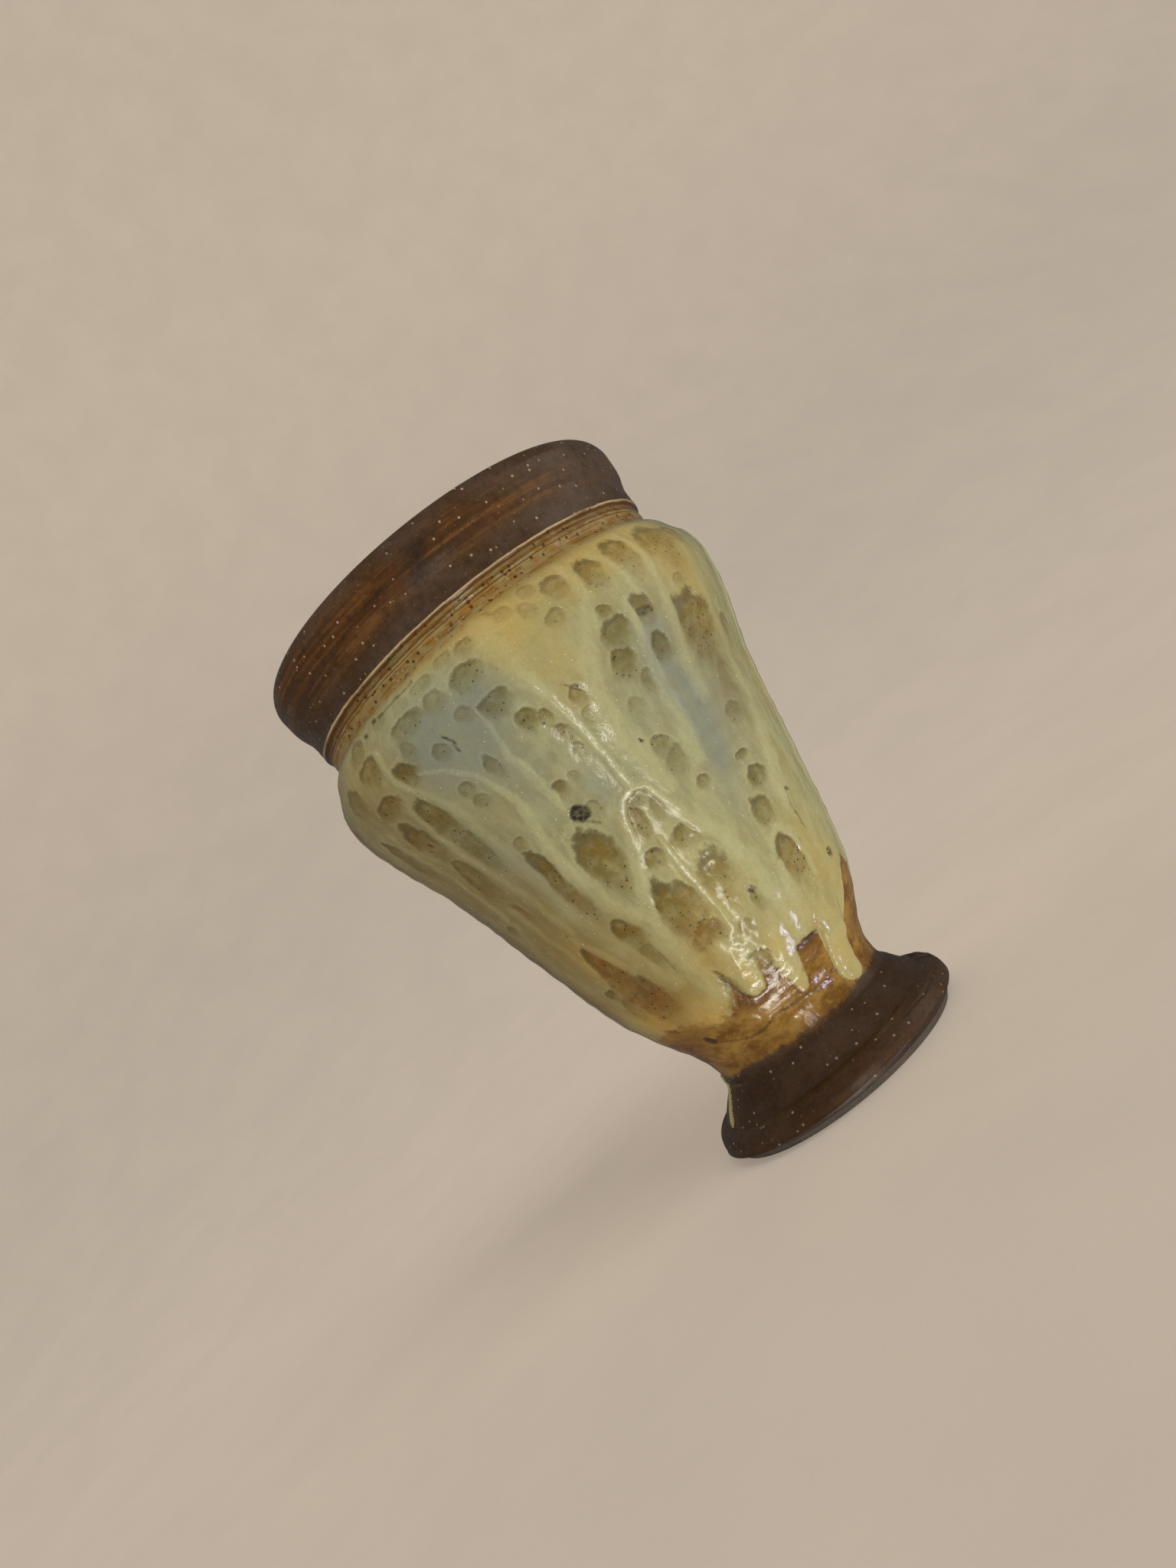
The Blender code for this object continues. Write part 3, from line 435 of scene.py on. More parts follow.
# The ranges that their thin places are drawn from, small ones above and large ones below.
CELL_TOP = (141, 147)
CELL_LOW = 50
CELL_MIDWAY = 5.7
CELL_ASIDE = (-2.4, 2.4)
CELL_GAP = (2.0, 7.0)
CELL_STRENGTH = (0.5, 1)
CELL_CHANCE = 0.82
SMALL_CELL_LOW = 134
SMALL_CELL_SIZES = ((2.2, 3.6), (2.0, 3.8))
LARGE_CELL_SIZES = ((2.4, 7.0), (2.2, 4.2))
WIDEST_LARGE_CELL = 1.2
BROWN_START = 100
UPPER_BROWN = (0, 0.4)
LOWER_BROWN = (0.1, 0.8)
# The ranges that their tints are drawn from.
TINT_COUNT = 9
TINT_WIDE = (5, 9)
TINT_HIGH = (6, 12)
TINT_STRENGTH = (0.4, 0.9)

# Places that the lights point at, and the colours of the lights.
MIDDLE = (0.0, 0.0, 0.08)
KEY_SPOT = (0.0, -0.04, 0.06)
VIOLET_SPOT = (0.012, -0.03, 0.04)
WARM = (1.0, 0.97, 0.92)
SOFT = (1.0, 0.98, 0.95)
COOL = (1.0, 0.99, 0.98)
REAR = (1.0, 0.99, 0.97)
GOLD = (1.0, 0.95, 0.86)
LILAC = (0.6, 0.6, 1.0)
EVEN = (1.0, 0.98, 0.96)
# The lights, in metres: place, what it points at, width and height, the setting that powers it and its share
# of that power, colour, and whether it shines in the glaze or fills.
LIGHTS = {
    "key": ((0.062, -0.465, -0.225), KEY_SPOT, (0.02, 0.11), "key_power", 0.6, WARM, "shine"),
    "key_low": ((0.022, -0.395, -0.31), KEY_SPOT, (0.02, 0.11), "key_power", 0.8, WARM, "shine"),
    "streak": ((0.041, -0.42, -0.07), (0.0, -0.06, 0.1), (0.006, 0.1), "key_power", 0.28, WARM, "shine"),
    "front": ((0.045, -0.43, -0.24), (0.0, -0.04, 0.07), (0.05, 0.30), "front_power", 1, WARM, "fill"),
    "low": ((-0.04, -0.20, -0.44), (0.0, -0.03, 0.03), (0.22, 0.06), "low_power", 1, WARM, "shine"),
    "sheen": ((0.95, -0.15, 0.2), MIDDLE, (0.7, 0.9), "sheen_power", 1, GOLD, "shine"),
    "violet": ((0.212, -0.165, -0.214), VIOLET_SPOT, (0.02, 0.05), "violet_power", 1, LILAC, "shine"),
    "soft": ((0.50, -0.80, -0.50), MIDDLE, (0.9, 0.9), "soft_power", 1, SOFT, "fill"),
    "side": ((-0.55, -0.6, 1.2), MIDDLE, (0.8, 0.8), "fill_power", 1, COOL, "fill"),
    "top": ((0.45, -0.25, 1.4), MIDDLE, (1.2, 1.2), "top_power", 1, SOFT, "fill"),
    "rear": ((-0.7, 0.9, 0.6), MIDDLE, (0.7, 0.5), "rear_power", 1, REAR, "fill"),
    "rear_right": ((1.0, 0.7, 0.4), MIDDLE, (0.3, 0.8), "rear_power", 1, REAR, "fill"),
    "rear_low": ((0.03, 0.55, -0.42), MIDDLE, (0.06, 0.3), "key_power", 1.17, WARM, "shine"),
}
# Even lights for the floor alone: the way each shines, its share of the power, and whether it casts shadows.
SUNS = {
    "backdrop_front": ((-0.1, 0.7, -0.7), 0.4, False),
    "backdrop_shade": ((-0.55, 0.6, -0.75), 0.6, True),
    "backdrop_rear": ((0.0, -0.5, -0.87), 0.84, False),
    "backdrop_low": ((0.0, 0.87, 0.5), 0.84, False),
}
SUN_SPREAD = math.radians(40)
# The floor, in metres: half its width, its near and far ends, and the bend and height of the sweep behind.
FLOOR_HALF = 9.0
FLOOR_NEAR = -9.0
FLOOR_FAR = 0.25
SWEEP_BEND = 0.9
SWEEP_ANGLES = (0.05, math.pi / 2, 24)
SWEEP_TOP = 4.0
# How bright the world behind the floor looks.
WORLD_SEEN = 0.75
# The camera: its place in metres, the way to its right and its top before it is rolled, and its roll.
CAMERA_PLACE = (-0.0039, -0.3248, 0.0837)
CAMERA_RIGHT = (0.99995, 0.0007, -0.0099)
CAMERA_UP = (0.00995, -0.0717, 0.9974)
CAMERA_ROLL = math.atan2(0.631, 0.776)
SENSOR_WIDTH = 36.0
NEAREST_SEEN = 0.01


def size_setting(name, description, default):
    """A size that the user can change."""
    return FloatProperty(name=name, description=description, default=default, unit="LENGTH")


def colour_setting(name, description, default):
    """A colour that the user can change."""
    return FloatVectorProperty(name=name, description=description, default=default, subtype="COLOR")


def power_setting(name, description, default):
    """The power of a light, which the user can change."""
    return FloatProperty(name=name, description=description, default=default, unit="POWER")


class VaseShapeSettings(bpy.types.PropertyGroup):
    """Sizes of the thrown surface and of the glaze that stands on it."""

    columns: IntProperty(name="Columns", description="Faces round the vase", default=720, min=90, max=1440)
    row_step: size_setting("Row step", "Height of one face", 0.0006)
    run_height: size_setting("Run height", "How far the thick runs stand out", 0.0010)
    cell_depth: size_setting("Cell depth", "How deep the thin places sink", 0.00022)
    throwing_depth: size_setting("Throwing rings", "Depth of the rings left by throwing", 0.00007)
    wobble: size_setting("Wobble", "How far the wall wanders from round", 0.00012)
    flange_tilt: size_setting("Flange tilt", "Rise of the foot's flange on the right", 0.0012)


class GlazeColourSettings(bpy.types.PropertyGroup):
    """Colours of the glazes and of the bare clay."""

    pale: colour_setting("Pale run", "Thick pale glaze", (0.47, 0.465, 0.25))
    grey: colour_setting("Grey green", "Glaze between the runs", (0.31, 0.305, 0.155))
    # The olive is the glaze's own colour in the straw streaks, and painted shade where the shade places lay
    # it over the flanks.
    olive: colour_setting("Olive", "Thinner glaze on the flanks", (0.20, 0.155, 0.062))
    thin: colour_setting("Thin", "What a thin place takes from the colour", (0.51, 0.44, 0.22))
    brown: colour_setting("Brown", "Thin places over iron", (0.195, 0.100, 0.022))
    blue: colour_setting("Slate blue", "Blue clouds", (0.245, 0.265, 0.20))
    warm: colour_setting("Straw", "Straw yellow clouds", (0.50, 0.385, 0.125))
    # The glint colour is painted light: the pale specks and lines that stand in for glints and highlights.
    glint_white: colour_setting("White", "Bubbles and veins", (0.86, 0.87, 0.73))
    browning: colour_setting("Browning", "What tan places take from the pale glaze", (1.0, 0.77, 0.48))
    honey: colour_setting("Honey", "Pooled amber", (0.31, 0.178, 0.040))
    amber: colour_setting("Amber", "Thin amber over clay", (0.140, 0.062, 0.011))
    ochre: colour_setting("Ochre", "Pale spots on the neck", (0.33, 0.27, 0.115))
    rust: colour_setting("Rust", "Rusty streaks", (0.13, 0.055, 0.012))
    bright_rust: colour_setting("Bright rust", "Rusty streaks with the most iron", (0.165, 0.078, 0.023))
    umber: colour_setting("Umber", "Collar and foot", (0.055, 0.029, 0.012))
    violet: colour_setting("Violet umber", "Greyer umber", (0.078, 0.050, 0.032))
    umber_browning: colour_setting("Umber browning", "What tan places take from umber", (0.88, 0.68, 0.45))
    maroon: colour_setting("Maroon", "Grooves and dots of the neck", (0.045, 0.015, 0.008))
    cream: colour_setting("Cream", "Ridges and pinholes", (0.48, 0.37, 0.24))
    # The dark also paints the shade on the foot.
    dark: colour_setting("Dark", "Pits and cracks", (0.022, 0.013, 0.007))
    liner: colour_setting("Liner", "Thick glaze inside", (0.19, 0.15, 0.085))
    liner_thin: colour_setting("Thin liner", "Thin glaze inside", (0.075, 0.055, 0.032))
    liner_dark: colour_setting("Dark liner", "Dark spots inside", (0.05, 0.035, 0.02))
    clay: colour_setting("Clay", "Bare stoneware", (0.24, 0.185, 0.135))


class StageSettings(bpy.types.PropertyGroup):
    """The floor, the lights and the camera."""

    floor: colour_setting("Floor", "Colour of the floor", (0.60, 0.52, 0.43))
    sky_colour: colour_setting("Sky colour", "Colour of the light all round", (1.0, 0.98, 0.95))
    key_power: power_setting("Key light", "Power of the narrow lights", 0.29)
    front_power: power_setting("Front light", "Power of the light under the camera", 1.1)
    low_power: power_setting("Low light", "Power of the light under the waist", 0.7)
    sheen_power: power_setting("Sheen", "Power of the broad light on the right", 1.0)
    violet_power: power_setting("Violet light", "Power of the small violet light", 0.16)
    soft_power: power_setting("Soft light", "Power of the broad light", 7.6)
    fill_power: power_setting("Side light", "Power of the light on the left", 7.5)
    top_power: power_setting("Top light", "Power of the light over the vase", 10.0)
    rear_power: power_setting("Rear light", "Power of each light behind", 3.0)
    backdrop_power: FloatProperty(
        name="Backdrop light", description="Strength of the floor's even light", default=1.45
    )
    sky: FloatProperty(name="Sky", description="Strength of the light all round", default=0.09)
    lens: FloatProperty(name="Lens", description="Focal length in millimetres", default=26.0156)


# Curves


def smooth_curve(points, step, blur):
    """Points along a line, even steps apart, with its corners rounded over a length and its ends kept."""
    points = np.array(points, float)
    along = np.concatenate(([0.0], np.cumsum(np.linalg.norm(np.diff(points, axis=0), axis=1))))
    count = int(round(along[-1] / FINE_STEP))
    places = np.linspace(0, along[-1], count + 1)
    line = np.stack([np.interp(places, along, points[:, axis]) for axis in (0, 1)], axis=1)
    reach = int(3 * blur / FINE_STEP)
    kernel = np.exp(-0.5 * (np.arange(-reach, reach + 1) * FINE_STEP / blur) ** 2)
    kernel /= kernel.sum()
    before = 2 * line[0] - line[1 : reach + 1][::-1]
    after = 2 * line[-1] - line[-reach - 1 : -1][::-1]
    padded = np.concatenate((before, line, after))
    line = np.stack([np.convolve(padded[:, axis], kernel, "valid") for axis in (0, 1)], axis=1)
    wanted = np.linspace(0, along[-1], int(round(along[-1] / step)) + 1)
    return np.stack([np.interp(wanted, places, line[:, axis]) for axis in (0, 1)], axis=1)


def outside_profile(step):
    """The whole outside as one line of (radius, height) in millimetres."""
    parts = [smooth_curve(points, min(step, longest), blur) for points, longest, blur in OUTSIDE]
    return np.concatenate([parts[0]] + [part[1:] for part in parts[1:]])


def line_normals(line):
    """The outward unit normals of a line that runs downwards."""
    way = np.gradient(line, axis=0)
    way /= np.linalg.norm(way, axis=1, keepdims=True)
    return np.stack([-way[:, 1], way[:, 0]], axis=1)


def wrapped(degrees):
    """An angle brought to between -180 and 180 degrees."""
    return (degrees + 180) % 360 - 180


def smooth_step(low, high, value):
    """0 below low, 1 above high, and a soft rise between."""
    share = np.clip((value - low) / (high - low), 0, 1)
    return share * share * (3 - 2 * share)


def bell(value):
    """1 at 0, and softly down to nothing both ways."""
    return np.exp(-(value**2))


# Soft noise that repeats round the vase


def lattice_weights(places, count, pitch, wraps):
    """How much each lattice point, pitch apart, counts at each place."""
    spots = places / pitch
    base = np.floor(spots).astype(int)
    part = spots - base
    shares = (
        (1 - part) ** 3 / 6,
        (3 * part**3 - 6 * part**2 + 4) / 6,
        (-3 * part**3 + 3 * part**2 + 3 * part + 1) / 6,
        part**3 / 6,
    )
    table = np.zeros((len(places), count))
    for offset, share in zip((-1, 0, 1, 2), shares):
        index = base + offset
        index = index % count if wraps else np.clip(index, 0, count - 1)
        np.add.at(table, (np.arange(len(places)), index), share)
    return table


def ripple(name, degrees, heights):
    """The soft noise of this name over heights and degrees."""
    seed, pitch_degrees, pitch_mm, strength = RIPPLES[name]
    round_count = int(round(360 / pitch_degrees))
    up_count = int(LATTICE_REACH / pitch_mm) + LATTICE_POINTS
    lattice = np.random.default_rng(seed).standard_normal((up_count, round_count)) * LATTICE_GAIN
    rows = lattice_weights(heights - LATTICE_START, up_count, pitch_mm, False)
    columns = lattice_weights(degrees + 180, round_count, 360 / round_count, True)
    return strength * (rows @ lattice @ columns.T)


# Features of the glaze, each worked out on the rows that it reaches


class GlazeMap:
    """Places on the outside, as degrees and heights pushed about by soft noises, and fields over them."""

    def __init__(self, degrees, profile):
        self.degrees = degrees
        self.radii = profile[:, 0]
        self.heights = profile[:, 1]
        self.phi = degrees[None, :] + (self.ripple("push_round") + self.ripple("fine_push_round"))
        self.z = self.heights[:, None] + (self.ripple("push_up") + self.ripple("fine_push_up"))
        self.shape = self.phi.shape
        self.edge_noise = self.ripple("ragged") + self.ripple("fine_ragged")

    def ripple(self, name):
        return ripple(name, self.degrees, self.heights)

    def ragged(self, kind, rows=slice(None)):
        """How far the edges of one kind of feature are moved."""
        return RAGGED[kind] * self.edge_noise[rows]

    def empty(self):
        return np.zeros(self.shape)

    def rows_near(self, low, high, margin=3):
        """The rows of the outside whose heights lie near a range."""
        index = np.nonzero((self.heights > low - margin) & (self.heights < high + margin))[0]
        return slice(index[0], index[-1] + 1)

    def degree_at(self, height):
        """How many millimetres one degree is at a height."""
        return math.radians(1) * float(np.interp(height, self.heights[::-1], self.radii[::-1]))

    def distance(self, points):
        """How far each place is from a line of (degrees, height, half width), in half widths."""
        heights = [point[1] for point in points]
        reach = 3 * max(point[2] for point in points)
        rows = self.rows_near(min(heights) - reach, max(heights) + reach)
        nearest = np.full((rows.stop - rows.start, self.shape[1]), np.inf)
        for (phi_a, z_a, w_a), (phi_b, z_b, w_b) in zip(points, points[1:]):
            scale = self.degree_at((z_a + z_b) / 2)
            x = wrapped(self.phi[rows] - phi_a) * scale
            y = self.z[rows] - z_a
            bx = wrapped(phi_b - phi_a) * scale
            by = z_b - z_a
            t = np.clip((x * bx + y * by) / (bx * bx + by * by), 0, 1)
            nearest = np.minimum(nearest, np.hypot(x - t * bx, y - t * by) / (w_a + t * (w_b - w_a)))
        return rows, nearest

    def oval(self, phi, z, half_wide, half_high, flare=0.0):
        """How far out each place is from an oval's middle, 1 at its edge, and how high up in it."""
        rows = self.rows_near(z - 2 * half_high, z + 2 * half_high)
        x = wrapped(self.phi[rows] - phi) * self.degree_at(z)
        y = (self.z[rows] - z) / half_high
        wide = half_wide * (1 + flare * np.clip(y, -1, 1))
        return rows, np.hypot(x / wide, y), y


def side_runs(draw, spots):
    """Runs for the sides that the picture doesn't show, like those of the front; every third is long."""
    runs = []
    for number, spot in enumerate(spots):
        phi = spot + draw.uniform(*RUN_ASIDE)
        top = draw.uniform(*RUN_TOP)
        low = draw.uniform(*(RUN_LOW if number % 3 else LONG_RUN_LOW))
        width = draw.uniform(*RUN_WIDTH)
        points = []
        for share in np.linspace(0, 1, RUN_POINTS):
            phi += draw.uniform(*RUN_WANDER)
            points.append((phi, top + share * (low - top), width * (1 + RUN_WIDENING * share)))
        runs.append((tuple(points), draw.uniform(*RUN_HEIGHT)))
    return tuple(runs)


def side_cells(draw, spots):
    """Thin places for the same sides, one under another midway between two runs."""
    cells = []
    for spot in spots:
        height = draw.uniform(*CELL_TOP)
        while height > CELL_LOW:
            small = height > SMALL_CELL_LOW
            highs, wides = SMALL_CELL_SIZES if small else LARGE_CELL_SIZES
            half_high = draw.uniform(*highs)
            half_wide = draw.uniform(*wides)
            if not small:
                half_wide = min(half_wide, half_high * WIDEST_LARGE_CELL)
            brown = draw.uniform(*(UPPER_BROWN if height > BROWN_START else LOWER_BROWN))
            if draw.uniform() < CELL_CHANCE:
                phi = spot + CELL_MIDWAY + draw.uniform(*CELL_ASIDE)
                cells.append((phi, height, half_wide, half_high, draw.uniform(*CELL_STRENGTH), brown))
            height -= half_high * 2 + draw.uniform(*CELL_GAP)
    return tuple(cells)


def side_zones(seed, low, high):
    """Tinted places for the same sides."""
    draw = np.random.default_rng(seed)
    ranges = (SIDE_TINTS, (low, high), TINT_WIDE, TINT_HIGH, TINT_STRENGTH)
    return tuple(tuple(draw.uniform(*limits) for limits in ranges) for _ in range(TINT_COUNT))


def zone_field(glaze, zones):
    """Soft ovals of tint, summed and held under 1."""
    field = glaze.empty()
    for phi, z, half_wide, half_high, strength in zones:
        rows, out, _ = glaze.oval(phi, z, half_wide * glaze.degree_at(z), half_high)
        field[rows] += strength * bell(out)
    return np.clip(field, 0, 1)


def blurred(field, rows, columns):
    """A field softened over about so many rows and columns each way; the columns wrap round."""
    wide = 2 * columns + 1
    high = 2 * rows + 1
    for _ in range(3):
        field = sum(np.roll(field, step, axis=1) for step in range(-columns, columns + 1)) / wide
        padded = np.pad(field, ((rows, rows), (0, 0)), mode="edge")
        field = sum(padded[step : step + len(field)] for step in range(high)) / high
    return field


def pale_field(glaze):
    """1 where the pale glaze lies, 0 where only amber or umber shows."""
    degrees, heights, softness = np.array(PALE_EDGE, float).T
    phi = wrapped(glaze.phi)
    edge = np.interp(phi, degrees, heights) + glaze.ragged("pale")
    softness = np.interp(phi, degrees, softness)
    crisp = smooth_step(-1, 1, (glaze.z - edge) / softness)
    return crisp + (blurred(crisp, *EDGE_BLUR) - crisp) * smooth_step(*BLURRED_EDGE, softness)


def drip_field(glaze, thickness, softness, points):
    """Thickness of one drip in millimetres, round at its edges, or thin there if it is a soft one."""
    rows, out = glaze.distance(points)
    field = glaze.empty()
    field[rows] = thickness * (1 - np.clip(out, 0, 1) ** DRIP_POWER) ** (0.5 + 1.5 * softness)
    return field


def cell_fields(glaze, cells):
    """The thin places: how far in each place is, how thin, how brown, and how high up in its cell."""
    fields = {name: glaze.empty() for name in ("cell", "thin", "brown", "top")}
    for phi, z, half_wide, half_high, thin, brown, *flare in cells:
        rows, out, up = glaze.oval(phi, z, half_wide, half_high, *flare)
        inside = np.clip((CELL_REACH - out - glaze.ragged("cell", rows)) / CELL_EDGE, 0, 1)
        nearer = inside > fields["cell"][rows]
        values = {"cell": inside, "thin": thin, "brown": brown, "top": np.clip(0.5 + 0.5 * up, 0, 1)}
        for name, value in values.items():
            fields[name][rows] = np.where(nearer, value, fields[name][rows])
    return fields


def run_fields(glaze, runs):
    """Where the raised runs lie, and how far they stand out as shares of the run height."""
    run = glaze.empty()
    rise = glaze.empty()
    for points, height in runs:
        rows, out = glaze.distance(points)
        run[rows] = np.maximum(run[rows], smooth_step(*RUN_EDGE, out + glaze.ragged("run", rows)))
        rise[rows] = np.maximum(rise[rows], height * bell(out))
    return run, rise


def painted_glint_field(glaze):
    """Where the painted highlights lie."""
    field = glaze.empty()
    for points in PAINTED_GLINT_LINES:
        rows, out = glaze.distance(points)
        field[rows] = np.maximum(field[rows], bell(out))
    return field


def neck_fields(glaze):
    """The ochre band round the neck, its ridges and grooves, and the umber above it and on the foot."""
    z = glaze.heights[:, None] + glaze.ripple("neck_sway") + glaze.ragged("neck")
    lines = {"cream": glaze.empty(), "groove": glaze.empty()}
    for height, half, kind in NECK_LINES:
        np.maximum(lines[kind], bell((z - height) / half), out=lines[kind])
    collar = smooth_step(*COLLAR_LINE, z)
    start = OCHRE_START + ripple("ochre_edge", glaze.degrees, np.zeros(1))
    foot_edge = FOOT_LINE + glaze.ripple("foot_edge") + glaze.ragged("foot")
    return {
        "ochre": smooth_step(-1.8, 1.4, z - start) * (1 - collar),
        "cream": lines["cream"] * smooth_step(-2.2, 0.4, glaze.ripple("cream_gaps")),
        "groove": lines["groove"],
        "umber": np.maximum(collar, smooth_step(0.7, -0.7, glaze.heights[:, None] - foot_edge)),
    }


def glaze_fields(glaze):
    """All masks of the glaze, and how far its runs stand out."""
    draw = np.random.default_rng(SIDE_SEED)
    spots = np.arange(*SIDE_RUNS, SIDE_GAP)
    run, rise = run_fields(glaze, RUNS + side_runs(draw, spots))
    fields = cell_fields(glaze, CELLS + side_cells(draw, spots))
    fields["thin"] *= smooth_step(*RUN_COVERS, run)
    for name, (zones, *drawn) in TINTS.items():
        fields[name] = zone_field(glaze, zones + side_zones(*drawn))
    fields["pale"] = pale_field(glaze)
    fields["run"] = run * fields["pale"]
    fields["dark"] = zone_field(glaze, DARK_ZONES)
    fields["painted_glint"] = painted_glint_field(glaze)
    fields.update(neck_fields(glaze))
    return fields, rise * fields["pale"]


# Relief of the outside, in millimetres over the thrown wall


def glaze_relief(glaze, fields, rise, shape):
    """The runs, the sunk thin places, and the step down at the lower edge of the pale glaze."""
    depth = CELL_LOWER_END + (1 - CELL_LOWER_END) * fields["top"]
    sunk = smooth_step(*CELL_SLOPE, fields["cell"]) * fields["thin"] * depth
    relief = rise * (shape.run_height / MM) - sunk * fields["pale"] * (shape.cell_depth / MM)
    return relief + PALE_STEP * (fields["pale"] - 0.5) * smooth_step(*PALE_STEP_IN, glaze.heights)[:, None]


def darken_foot(glaze, dark):
    """Paint shade on the foot, darker towards the table, into the dark field."""
    shadow = sum(strength * smooth_step(high, low, glaze.heights) for high, low, strength in FOOT_SHADOWS)
    np.maximum(dark, shadow[:, None], out=dark)


def cut_marks(glaze, dark, relief):
    """Darken and sink the lines, pits and cracks, and raise a rim round each."""
    for points, strength, depth in DARK_MARKS:
        rows, out = glaze.distance(points)
        edge = min(WIDEST_MARK_EDGE, MARK_EDGE / points[0][2])
        mark = smooth_step(1 + edge, 1 - edge, out + glaze.ragged("mark", rows))
        dark[rows] = np.maximum(dark[rows], strength * mark)
        relief[rows] += depth * (MARK_RIM * bell((out - 1 - edge) / edge) - mark)


def thrown_relief(glaze, shape):
    """Throwing rings, the wall's wandering, the skin of the glaze and its crinkled patch."""
    glazed = ((glaze.heights < NECK_END) & (glaze.heights > AMBER_END))[:, None]
    wander = RING_WANDER * np.sin(glaze.heights * WANDER_RATE)
    rings = np.sin(glaze.heights * math.tau / RING_PITCH + wander)
    relief = (rings[:, None] + glaze.ripple("throwing")) * shape.throwing_depth / MM
    relief += glaze.ripple("wobble") * shape.wobble / MM
    skin = glaze.ripple("waves") + glaze.ripple("fine_waves")
    relief += np.where(glazed, skin, glaze.ripple("dry_rings"))
    rows, out, _ = glaze.oval(*CRINKLED)
    relief[rows] += bell(out) * glaze.ripple("crinkle")[rows]
    return relief


def moved_out(line, normals, height):
    """Radii and heights of a line's points moved along its normals, with a column for each angle."""
    return line[:, :1] + height * normals[:, :1], line[:, 1:] + height * normals[:, 1:]


def turned(radius, up, degrees):
    """Points in metres of radii and heights in millimetres, turned round the axis from the front."""
    turn = np.radians(degrees)[None, :]
    parts = np.broadcast_arrays(radius * np.sin(turn), -radius * np.cos(turn), up)
    return np.stack(parts, axis=-1) * MM


def turned_line(line, degrees):
    """A line of (radius, height) turned round the axis."""
    line = np.array(line, float)
    return turned(line[:, :1], line[:, 1:], degrees)


def place_surface(profile, normals, degrees, relief, shape):
    """Points in metres of the profile moved out by its relief and turned, with the foot set askew."""
    radius, up = moved_out(profile, normals, relief)
    heights = profile[:, 1:]
    tilt = smooth_step(*TILT_IN, heights) * smooth_step(*TILT_OUT, heights)
    up = np.clip(up + tilt * np.sin(np.radians(degrees)) * shape.flange_tilt / MM, 0.0, TOP)
    points = turned(np.minimum(radius, MOST_RADIUS), up, degrees)
    points[..., 0] += np.interp(heights, *np.array(FOOT_SHIFT, float).T) * MM
    return points


def surface_normals(points):
    """Unit normals of a grid of points whose columns go round."""
    across = np.roll(points, -1, axis=1) - np.roll(points, 1, axis=1)
    normals = np.cross(np.gradient(points, axis=0), across)
    return normals / np.maximum(np.linalg.norm(normals, axis=-1, keepdims=True), 1e-12)


def outside_surface(shape):
    """The outside as points in metres, normals and masks, with and without the drips."""
    degrees = np.arange(shape.columns) * 360 / shape.columns - 180
    profile = outside_profile(shape.row_step / MM)
    normals = line_normals(profile)
    glaze = GlazeMap(degrees, profile)
    fields, rise = glaze_fields(glaze)
    relief = glaze_relief(glaze, fields, rise, shape)
    darken_foot(glaze, fields["dark"])
    cut_marks(glaze, fields["dark"], relief)
    relief += thrown_relief(glaze, shape)
    relief *= np.minimum(glaze.heights / FLAT_FOOT, 1)[:, None]
    drips = {name: drip_field(glaze, *drip[:2], drip[-1]) for name, drip in DRIPS.items()}
    lifted = np.max(list(drips.values()), axis=0)
    lifted *= np.clip(1 - (glaze.heights - BODY_END) / DRIP_FADE, 0, 1)[:, None]
    bare = place_surface(profile, normals, degrees, relief, shape)
    full = place_surface(profile, normals, degrees, relief + lifted, shape)
    return {
        "heights": glaze.heights,
        "degrees": degrees,
        "points": bare,
        "full_points": full,
        "normals": surface_normals(bare),
        "full_normals": surface_normals(full),
        "fields": fields,
        "drips": drips,
    }


SURFACE = {}


def surface():
    """The outside surface, worked out once."""
    if not SURFACE:
        SURFACE.update(outside_surface(bpy.context.scene.vase_shape))
    return SURFACE


# Meshes


def new_piece(name, points, faces, normals, values, material, replaced):
    """Make a smooth mesh piece with one float for each point under each name, and tie it to the frame."""
    mesh = bpy.data.meshes.new(name)
    mesh.from_pydata(points.reshape(-1, 3), [], faces)
    mesh.update()
    for key, field in values.items():
        attribute = mesh.attributes.new(key, "FLOAT", "POINT")
        attribute.data.foreach_set("value", np.ascontiguousarray(field, np.float32).ravel())
    mesh.shade_smooth()
    if normals is not None:
        mesh.normals_split_custom_set_from_vertices(normals.reshape(-1, 3))
    mesh.materials.append(material)
    piece = bpy.data.objects.new(name, mesh)
    bpy.context.scene.collection.objects.link(piece)
    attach(piece, "root")
    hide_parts(*replaced)
    return piece


def grid_faces(row, column, row_count, column_count):
    """Faces from rows and columns of a grid to the next ones; the last row and column meet the first."""
    below = (row + 1) % row_count
    beside = (column + 1) % column_count
    places = ((row, column), (below, column), (below, beside), (row, beside))
    return np.stack([down * column_count + across for down, across in places], axis=1)


def ring_faces(points):
    """Faces of a closed band: rows and columns both wrap round."""
    row_count, column_count = points.shape[:2]
    row, column = np.divmod(np.arange(row_count * column_count), column_count)
    return grid_faces(row, column, row_count, column_count)


def slab_faces(quads):
    """Faces of a slab over the marked cells of a grid whose columns wrap round: top, underside, sides."""
    row_count = len(quads) + 1
    column_count = quads.shape[1]
    count = row_count * column_count
    top = grid_faces(*np.nonzero(quads), row_count, column_count)
    edges = {}
    for quad in top.tolist():
        for a, b in zip(quad, quad[1:] + quad[:1]):
            if (b, a) in edges:
                del edges[(b, a)]
            else:
                edges[(a, b)] = True
    sides = [(b, a, a + count, b + count) for a, b in edges]
    return top.tolist() + (top[:, ::-1] + count).tolist() + sides


